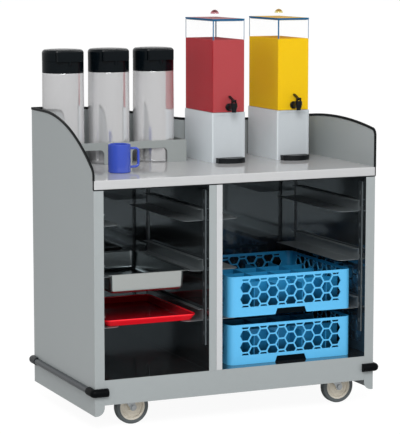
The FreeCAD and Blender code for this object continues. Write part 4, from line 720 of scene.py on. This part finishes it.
def casing(number, centre, foot, shoulder, low, top):
    """A casing with its inner vessel: one outline up the rolled foot, the tapered wall and the collar, then
    down inside from the neck, turned."""
    start = 1 * MM
    neck = 55 * MM
    vessel = 64.8 * MM
    floor = low + 14 * MM
    outline = fillet(
        [(start, low), (foot - 4 * MM, low), (foot, low + 4 * MM), (foot - 0.1 * MM, low + 9 * MM),
         (foot - 0.8 * MM, low + 10 * MM), (shoulder - 0.4 * MM, top - 6 * MM), (shoulder, top - 5 * MM),
         (shoulder, top), (neck, top), (neck, top - 2 * MM), (vessel, top - 3 * MM), (vessel, floor),
         (start, floor)],
        mm(2, 2, 0.3, 0.4, 0.4, 0.4, 1.2, 0, 0, 0, 6), steps=4,
    )
    stand_in(f"airpot_casing_{number}", turned(outline, centre, steps=FINE_STEPS), f"airpot_body_{number}")


def pump_head(number, centre, shoulder, top, split, crest):
    """A hollow cap with a split line round it, a well for the button and the pump tube below: one outline
    from the tube's foot, round the inside of the cap, up its outside and into the well, turned."""
    node = f"airpot_head_{number}"
    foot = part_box(node)[0].z
    tube = 5 * MM
    skin = 3 * MM
    well, sleeve = 52.4 * MM, 55.3 * MM
    floor = crest - 46 * MM
    skirt, seat = shoulder - 0.2 * MM, top + 0.2 * MM
    outline = fillet(
        [(AXIS, foot), (tube, foot), (tube, floor - skin), (sleeve, floor - skin), (sleeve, crest - skin),
         (shoulder - 12 * MM, crest - skin), (shoulder - skin, crest - 12 * MM), (shoulder - skin, seat),
         (skirt, seat), (skirt, split - 1 * MM), (shoulder - 1.2 * MM, split), (shoulder, split + 1 * MM),
         (shoulder, crest), (well, crest), (well, floor), (AXIS, floor)],
        mm(0, 0, 0, 0, 4, 4, 0, 0.8, 0.4, 0.3, 0.4, 12, 1.2, 2), steps=6,
    )
    stand_in(f"airpot_cap_{number}", turned(outline, centre, steps=FINE_STEPS), node)


def beak(number, centre, split, crest):
    """The pouring beak: a wide flat-fronted block on the head's upper half, over a short nozzle."""
    node = f"airpot_head_{number}"
    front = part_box(node)[0].y
    half_x, half_y = 50 * MM, 14 * MM
    top = crest - 4 * MM
    block = fillet([(8 * MM, split), (0, split), (0, top), (8 * MM, top)], mm(1.2, 4))
    points = boxed(block, half_x, half_y, 4 * MM, (centre[0], front + half_y, 0))
    new_piece(f"airpot_beak_{number}", points, BODY_OF[node], "pot_black")
    bore, outer = 4.4 * MM, 6 * MM
    low, high = split - 14 * MM, split + 2 * MM
    recess = low + 4 * MM
    nozzle = fillet(
        [(AXIS, recess), (bore, recess), (bore, low), (outer, low), (outer, high), (AXIS, high)],
        mm(0, 0.4, 0.8, 0), steps=3,
    )
    mouth = (centre[0], front + 7 * MM, 0)
    new_piece(f"airpot_nozzle_{number}", turned(nozzle, mouth, steps=PIN_STEPS), BODY_OF[node], "pot_black")


def push_button(number, centre):
    """A dished button on a stem: its outline turned."""
    node = f"airpot_button_{number}"
    low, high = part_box(node)
    edge = high.x - centre[0]
    stem = 12 * MM
    under = high.z - 9 * MM
    outline = fillet(
        [(AXIS, low.z), (stem, low.z), (stem, under), (edge, under), (edge, high.z),
         (edge - 9 * MM, high.z), (20 * MM, high.z - 1.4 * MM), (AXIS, high.z - 1.6 * MM)],
        mm(1, 0, 0, 3, 12, 20), steps=6,
    )
    stand_in(f"airpot_push_{number}", turned(outline, centre, steps=FINE_STEPS), node)


# Dispensers
TANK_WALL = 5 * MM
TANK_FLOOR = 6 * MM
TANK_CORNER = 3 * MM
TAP_HEIGHT = 20 * MM
LEVER_LEAN = math.radians(22)
LEVER_LENGTH = 45.8 * MM
# The blue of the cut edges: how far it reaches from a tank's corners, its rim and the drink's level, and
# the points on either side of where it ends
CORNER_BLUE = 3.4 * MM
RIM_BLUE = 4.5 * MM
LEVEL_BLUE = 0.5 * MM
CORNER_RUNS = mm(2.2, 3.2)


def dispenser(hand):
    """A moulded stand, a drip tray, a clear tank of drink with blue edges, a lid with a knob, and a tap."""
    stand = f"dispenser_base_{hand}"
    eased(stand, 1.2 * MM, segments=3)
    # The stand's sides in a lighter grey: painted light
    line(f"{stand}_eased", BASE_LIT_SIDES, sideways)
    eased(f"drip_tray_{hand}", 0.8 * MM)
    tank(hand)
    drink(hand)
    lid(hand)
    tap(hand)
    lever(hand)


def tank(hand):
    """A clear box: the outline of its wall and floor, with points where the blue ends, carried round."""
    node = f"dispenser_tank_{hand}"
    spot, half = middle(node)
    low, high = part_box(node)
    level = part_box(f"drink_{hand}")[1].z
    floor = low.z + TANK_FLOOR
    heights = [level - 1 * MM, level, high.z - 5 * MM, high.z - 4 * MM]
    outside = [(0, height) for height in heights]
    inside = [(TANK_WALL, height) for height in reversed(heights)]
    outline = fillet(
        [(6 * MM, low.z), (0, low.z), *outside, (0, high.z), (TANK_WALL, high.z), *inside,
         (TANK_WALL, floor), (TANK_WALL + 6 * MM, floor)],
        mm(0.8, 0, 0, 0, 0, 0.8, 0.8, 0, 0, 0, 0, 1.5), steps=3,
    )
    points = boxed(outline, half.x, half.y, TANK_CORNER, (spot.x, spot.y, 0), CORNER_RUNS)
    stand_in(f"tank_{hand}", points, node, edge=tank_edges(points, spot, half, level, high.z))


def tank_edges(points, spot, half, level, rim):
    """One at the rim of a clear box and near its upright corners above the drink, and none elsewhere."""
    from_x = half.x - np.abs(points[..., 0] - spot.x)
    from_y = half.y - np.abs(points[..., 1] - spot.y)
    corner = np.maximum(from_x, from_y) < CORNER_BLUE
    top = points[..., 2] > rim - RIM_BLUE
    clear = points[..., 2] > level - LEVEL_BLUE
    return np.where(corner & clear | top, 1.0, 0.0)


def drink(hand):
    """The drink as the clear walls show it: bent light carries its colour out to their outer faces."""
    node = f"drink_{hand}"
    spot = middle(node)[0]
    half = middle(f"dispenser_tank_{hand}")[1]
    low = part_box(f"dispenser_tank_{hand}")[0].z + 0.8 * MM
    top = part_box(node)[1].z
    skin = 0.5 * MM
    outline = fillet(
        [(9 * MM, low), (skin, low), (skin, top), (5.5 * MM, top), (6.5 * MM, top - 1 * MM),
         (12 * MM, top - 1.2 * MM)],
        mm(1, 0.3, 0, 0.6), steps=3,
    )
    points = boxed(outline, half.x, half.y, TANK_CORNER, (spot.x, spot.y, 0))
    stand_in(f"drink_fill_{hand}", points, node)
    line(f"drink_fill_{hand}", SURFACES[hand], upwards)
    if hand == "left":
        # The red drink's sides in a darker red: painted shade
        line(f"drink_fill_{hand}", RED_SHADED_SIDES, sideways)


def lid(hand):
    """A flat plate with a lip that drops inside the tank, and a mushroom knob of clear plastic: a turned
    stem under a dome cut from a sphere. Plate and dome take the drink's colour: a painted reflection."""
    node = f"dispenser_lid_{hand}"
    spot, half = middle(node)
    low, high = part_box(node)
    ground = (spot.x, spot.y, 0)
    rim = low.z + 6 * MM
    top = rim + 3 * MM
    outer = TANK_WALL + 1.6 * MM
    inner = outer + 3 * MM
    plate = fillet(
        [(outer + 12 * MM, rim), (inner, rim), (inner, low.z), (outer, low.z), (outer, rim), (0, rim),
         (0, top), (8 * MM, top)],
        mm(0.4, 0.4, 0.4, 0.4, 0.6, 0.6), steps=2,
    )
    points = boxed(plate, half.x, half.y, TANK_CORNER, ground)
    cut_edge = np.broadcast_to(plate[:, :1] < 1 * MM, points.shape[:2])
    stand_in(f"lid_{hand}", points, node, edge=cut_edge, material=DRINK_COLOURED_LIDS[hand])
    seat = top + 16 * MM
    reach = 16.4 * MM
    rise = high.z - seat
    sphere = (reach ** 2 + rise ** 2) / (2 * rise)
    lean = np.linspace(math.asin(min(reach / sphere, 1)), 0.03, 12)
    dome = np.stack((sphere * np.sin(lean), high.z - sphere + sphere * np.cos(lean)), axis=1)
    shaft = 5.6 * MM
    foot, head = top + 0.1 * MM, seat + 0.2 * MM
    stem = fillet(
        [(AXIS, foot), (8 * MM, foot), (shaft, top + 3 * MM), (shaft, head), (AXIS, head)],
        mm(0.5, 1.5, 0), steps=4,
    )
    points = turned(stem, ground, steps=PIN_STEPS)
    new_piece(f"lid_stem_{hand}", points, BODY_OF[node], "clear_tank", edge=np.zeros(points.shape[:2]))
    crown = np.concatenate(([(AXIS, seat)], dome))
    knob = turned(crown, ground, steps=SMALL_STEPS)
    new_piece(f"lid_knob_{hand}", knob, BODY_OF[node], "clear_tank", DRINK_COLOURED_KNOBS[hand])


def tap(hand):
    """A tap: a collar and shank through the tank wall, turned about a level axis, a tapered upright body,
    turned about an upright one, and two ears for the lever."""
    node = f"spigot_{hand}"
    low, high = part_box(node)
    tank_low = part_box(f"dispenser_tank_{hand}")[0]
    x = (low.x + high.x) / 2
    z = tank_low.z + TAP_HEIGHT
    front, back = tank_low.y, tank_low.y + TANK_WALL
    pivot = joint_place(f"lever_tilt_{hand}")
    nut, hole, collar = 13.4 * MM, 10 * MM, 14.4 * MM
    shank = fillet(
        [(AXIS, high.y), (nut, high.y), (nut, back), (hole, back), (hole, front), (collar, front),
         (collar, front - 8 * MM), (9 * MM, front - 8.5 * MM), (8.4 * MM, pivot.y), (AXIS, pivot.y)],
        mm(1, 0, 0, 0, 0.6, 2, 1, 0), steps=4,
    )
    stand_in(f"tap_shank_{hand}", turned(shank, (x, 0, z), "y", SMALL_STEPS), node)
    mouth, recess = 6 * MM, low.z + 2 * MM
    cap, top = 13 * MM, z + 18 * MM
    barrel = fillet(
        [(AXIS, recess), (mouth, recess), (mouth, low.z), (8 * MM, low.z), (9.2 * MM, z - 9 * MM),
         (12 * MM, z + 2 * MM), (cap, z + 4 * MM), (cap, top), (AXIS, top)],
        mm(0, 0, 0.6, 1, 2, 1, 2), steps=4,
    )
    points = turned(barrel, (x, pivot.y, 0), steps=SMALL_STEPS)
    new_piece(f"tap_barrel_{hand}", points, BODY_OF[node], "spigot_black")
    root = top - 2 * MM
    ear = fillet([(2 * MM, root), (0, root), (0, high.z), (2 * MM, high.z)], mm(0.2, 1.5))
    for side, aside in zip(HANDS, mm(-7.1, 7.1)):
        points = boxed(ear, 1.8 * MM, 5.4 * MM, 1.2 * MM, (x + aside, pivot.y, 0))
        new_piece(f"tap_ear_{side}_{hand}", points, BODY_OF[node], "spigot_black")


def lever(hand):
    """A paddle that widens towards its round tip, on a pin: a soft oval section carried along the lever's
    lean, its width and thickness falling to the ends as a circle does."""
    node = f"spigot_lever_{hand}"
    pivot = np.array(joint_place(f"lever_tilt_{hand}"))
    heel, neck, tip_run = -4.5 * MM, 30 * MM, 14 * MM
    heel_round, tip_round, tip_reach = 4.6 * MM, 8 * MM, 8.05 * MM
    shaft = np.linspace(heel, neck, 10)
    tip = LEVER_LENGTH - tip_run * np.cos(np.linspace(0.1, math.pi / 2, 9))
    run = np.concatenate((shaft, tip))
    beyond = np.clip(run - (LEVER_LENGTH - tip_round), 0, None) / tip_reach
    behind = np.clip(-run, 0, None) / heel_round
    end = np.sqrt(np.clip(1 - beyond ** 2, 0, 1))
    start = np.sqrt(np.clip(1 - behind ** 2, 0.02, 1))
    width = (4.9 + 1.1 * np.clip(run / (20 * MM), 0, 1)) * MM * end * start
    thick = np.interp(run, [0, 12 * MM, LEVER_LENGTH], mm(5.2, 3.4, 3.0)) * np.sqrt(end) * start
    section = soft_square(count=28, power=0.6)
    side = width[:, None] * section[:, 0]
    up = thick[:, None] * section[:, 1]
    along = np.broadcast_to(run[:, None], side.shape)
    back = along * math.cos(LEVER_LEAN) - up * math.sin(LEVER_LEAN)
    rise = along * math.sin(LEVER_LEAN) + up * math.cos(LEVER_LEAN)
    stand_in(f"tap_lever_{hand}", np.stack((side, back, rise), axis=-1) + pivot, node)
    pin = np.array([(0.3, -8.9), (1.9, -8.9), (1.9, 8.9), (0.3, 8.9)]) * MM
    # The pin is turned upright at the origin, and its axes change places to lay it from left to right
    rod = turned(pin, (0, 0, 0), steps=24)[..., [2, 0, 1]]
    new_piece(f"tap_pin_{hand}", rod + pivot, BODY_OF[node], SLOT_OF[node])


# Loose things: a rack's wall and corner, heights over its foot between which a painted shade darkens its cells
# and the share that is left, and the size of the dark plate that paints the shadow in its front notch
RACK_WALL = 3.5 * MM
RACK_ROUND = 25 * MM
CELL_SHADE_LOW = 28 * MM
CELL_SHADE_HIGH = 62 * MM
CELL_SHADE_LEAST = 0.3
GRIP_HEIGHT = 22.6 * MM
GRIP_HALF_WIDTH = 62 * MM


def mug():
    """A straight mug: its outline from a hollow foot over the rolled rim into the bore, turned, and a
    handle of soft square section carried along a D."""
    low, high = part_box("mug")
    radius = (high.y - low.y) / 2
    centre = (low.x + radius, (low.y + high.y) / 2, 0)
    start = 1 * MM
    bore = radius - 3.5 * MM
    hollow, floor = low.z + 2 * MM, low.z + 5 * MM
    cup = fillet(
        [(start, hollow), (radius - 12 * MM, hollow), (radius - 10 * MM, low.z), (radius, low.z),
         (radius, high.z), (bore, high.z), (bore, floor), (start, floor)],
        mm(1, 0.8, 5, 1.7, 1.7, 8), steps=6,
    )
    stand_in("mug_cup", turned(cup, centre, steps=FINE_STEPS), "mug")
    root, out = centre[0] + radius - 2 * MM, high.x - 4.7 * MM
    top, bottom = high.z - 17 * MM, low.z + 19 * MM
    spine = fillet([(root, top), (out, top), (out, bottom), (root, bottom)], mm(13, 13), steps=12)
    section = soft_square(count=24, power=0.7) * 4.5 * MM
    new_piece("mug_handle", swept(section, upright_path(spine, centre[1]), (0, 1, 0)), "mug", "mug_blue")


def pan():
    """A deep-drawn pan: the outline of tapered walls with a wide bottom radius, under a flat rim with a
    turned edge, carried round corners whose radius changes with the inset."""
    node = "steel_pan"
    spot, half = middle(node)
    low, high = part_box(node)
    sheet = 1.2 * MM
    lip, foot, flat = 15 * MM, 21 * MM, 60 * MM
    outline = fillet(
        [(flat, low.z), (foot, low.z), (lip, high.z - sheet), (0, high.z - sheet), (0, high.z),
         (lip + sheet, high.z), (foot + sheet, low.z + sheet), (flat, low.z + sheet)],
        mm(17, 2, 0.5, 0.5, 3, 16), steps=8,
    )
    corners = (np.array([0, 15, 21, 40, 60]) * MM, np.array([14, 20, 15, 5, 0]) * MM)
    stand_in("pan_drawn", boxed(outline, half.x, half.y, corners, (spot.x, spot.y, 0)), node)
    reach = np.array(half)[:2] - lip
    least_rise = -0.05
    # The pan's inside in darker steel: painted shade
    line("pan_drawn", PAN_SHADED_INSIDE,
         lambda place, facing: (facing[:, 2] > least_rise) & near(place, spot, reach))


def tray():
    """A moulded tray: the outline of flared sides, a soft corner to the floor and a rounded rim, carried
    round a rounded rectangle."""
    node = "serving_tray"
    spot, half = middle(node)
    low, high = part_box(node)
    wall = 3 * MM
    flat = 70 * MM
    flare = high.z - 4 * MM
    outline = fillet(
        [(flat, low.z), (17 * MM, low.z), (0, flare), (0, high.z), (wall, high.z), (wall + 1 * MM, flare),
         (18 * MM + wall, low.z + wall), (flat, low.z + wall)],
        mm(7, 2, 1.4, 1.4, 3, 9), steps=5,
    )
    stand_in("tray_moulded", boxed(outline, half.x, half.y, 28 * MM, (spot.x, spot.y, 0)), node)
    reach = np.array(half)[:2] - wall
    least_rise = 0.3
    # The tray's floor and inner sides in darker red: painted shade
    line("tray_moulded", TRAY_SHADED_FLOOR,
         lambda place, facing: (facing[:, 2] > least_rise) & near(place, spot, reach))


def racks():
    """Moulded racks with broken edges, painted shade inside their walls: a deeper blue, darker downwards."""
    for level, cells in SHADED_RACK_CELLS.items():
        node = f"glass_rack_{level}"
        spot, half = middle(node)
        foot = spot.z - half.z
        # Painted shade: the cells darken towards the rack's foot
        painted_shade_below(cells, foot + CELL_SHADE_LOW, foot + CELL_SHADE_HIGH, CELL_SHADE_LEAST)
        eased(node, 0.9 * MM)
        line(f"{node}_eased", cells,
             lambda place, facing: inside_walls(place - np.array(spot), facing, np.array(half)))
        eased(f"rack_cells_{level}", 0.4 * MM, segments=1, material=cells)
        grip_shade(level)


def inside_walls(offset, facing, half):
    """Faces inside a rack's walls, without those that round its outer corners."""
    reach = np.abs(offset[:, :2])
    inner = half[:2] - RACK_WALL
    outward = np.sum(offset[:, :2] * facing[:, :2], axis=1) > 0
    corner = np.all(reach > inner - RACK_ROUND, axis=1)
    return np.all(reach < inner, axis=1) & ~(corner & outward)


def grip_shade(level):
    """A painted shadow in a rack's front hand notch: a thin near-black plate just behind the wall."""
    node = f"glass_rack_{level}"
    low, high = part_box(node)
    thick = 0.6 * MM
    setback = 4.2 * MM
    plate = np.array([(0, low.z + 0.5 * MM), (0, low.z + GRIP_HEIGHT)])
    spot = ((low.x + high.x) / 2, low.y + setback + thick, 0)
    points = boxed(plate, GRIP_HALF_WIDTH, thick, LEAST_CORNER, spot)
    new_piece(f"rack_notch_shadow_{level}", points, BODY_OF[node], SLOT_OF[node], RACK_SHADE)


# Studio
def area_light(name, place, target, size, power):
    """A soft rectangular panel at a place, turned to face a target."""
    lamp = bpy.data.lights.new(name, "AREA")
    lamp.shape = "RECTANGLE"
    lamp.size, lamp.size_y = size
    lamp.energy = power
    thing = bpy.data.objects.new(name, lamp)
    thing.location = place
    thing.rotation_euler = (Vector(target) - Vector(place)).to_track_quat("-Z", "Y").to_euler()
    bpy.context.scene.collection.objects.link(thing)


def white_room():
    """A white surrounding that the camera sees plain, and that lights the part less from above."""
    world = bpy.data.worlds.new("white room")
    world.use_nodes = True
    tree = world.node_tree
    seen = add(tree, "LightPath").outputs["Is Camera Ray"]
    height = add(tree, "SeparateXYZ", [(0, add(tree, "TexCoord").outputs["Generated"])]).outputs["Z"]
    dome = add(tree, "MapRange", [("Value", height), ("To Min", HORIZON_LIGHT), ("To Max", ZENITH_LIGHT)])
    level = add(tree, "Mix", [("Factor", seen), (2, dome.outputs[0]), (3, 1.0)])
    tree.links.new(level.outputs[0], tree.nodes["Background"].inputs["Strength"])
    tree.nodes["Background"].inputs["Color"].default_value = (1, 1, 1, 1)
    bpy.context.scene.world = world


def floor_finish():
    """The camera sees the floor nearly white, with a faint shadow; the part gets a softer light from it."""
    made = finish(
        "pale floor", "#cacaca", roughness=0.8, tone=0.01, spread=0.02, scale=2, relief=0,
        specular_ior_level=0.0,
    )
    tree = made.node_tree
    seen = add(tree, "LightPath").outputs["Is Camera Ray"]
    shade = add(tree, "BsdfDiffuse", [("Color", FLOOR_SHADE)])
    glow = add(tree, "Emission", [("Strength", FLOOR_GLOW)])
    white = add(tree, "AddShader", [(0, shade.outputs[0]), (1, glow.outputs[0])])
    plain = tree.nodes["Principled BSDF"].outputs[0]
    both = add(tree, "MixShader", [(0, seen), (1, plain), (2, white.outputs[0])])
    tree.links.new(both.outputs[0], tree.nodes["Material Output"].inputs["Surface"])
    return made


def pale_floor():
    """A wide level square under the casters."""
    mesh = bpy.data.meshes.new("floor")
    corners = [(x * FLOOR_REACH, y * FLOOR_REACH, 0) for x, y in ((-1, -1), (1, -1), (1, 1), (-1, 1))]
    mesh.from_pydata(corners, [], [(0, 1, 2, 3)])
    floor = bpy.data.objects.new("floor", mesh)
    bpy.context.scene.collection.objects.link(floor)
    mesh.materials.append(floor_finish())


def photo_camera():
    """The photograph's camera, aimed by its turn to the right and its dip."""
    lens = bpy.data.cameras.new("camera")
    lens.sensor_width = SENSOR_MM
    lens.lens = FOCAL_PIXELS / FRAME_PIXELS * SENSOR_MM
    lens.clip_end = CAMERA_FAR
    camera = bpy.data.objects.new("camera", lens)
    yaw, dip = math.radians(CAMERA_YAW), math.radians(CAMERA_DIP)
    aim = Vector((math.sin(yaw) * math.cos(dip), math.cos(yaw) * math.cos(dip), -math.sin(dip)))
    camera.location = CAMERA_PLACE
    camera.rotation_euler = aim.to_track_quat("-Z", "Y").to_euler()
    bpy.context.scene.collection.objects.link(camera)
    bpy.context.scene.camera = camera


def studio():
    """A pale floor, a white room light, soft panels, and the photograph's camera."""
    bpy.context.scene.view_settings.view_transform = "Standard"
    white_room()
    pale_floor()
    for panel in PANELS:
        area_light(*panel)
    photo_camera()


for node, thing in nodes.items():
    thing.data.materials.clear()
    thing.data.materials.append(FINISHES[SLOT_OF[node]])
cart()
casters()
airpots()
for hand in HANDS:
    dispenser(hand)
mug()
pan()
tray()
racks()
studio()
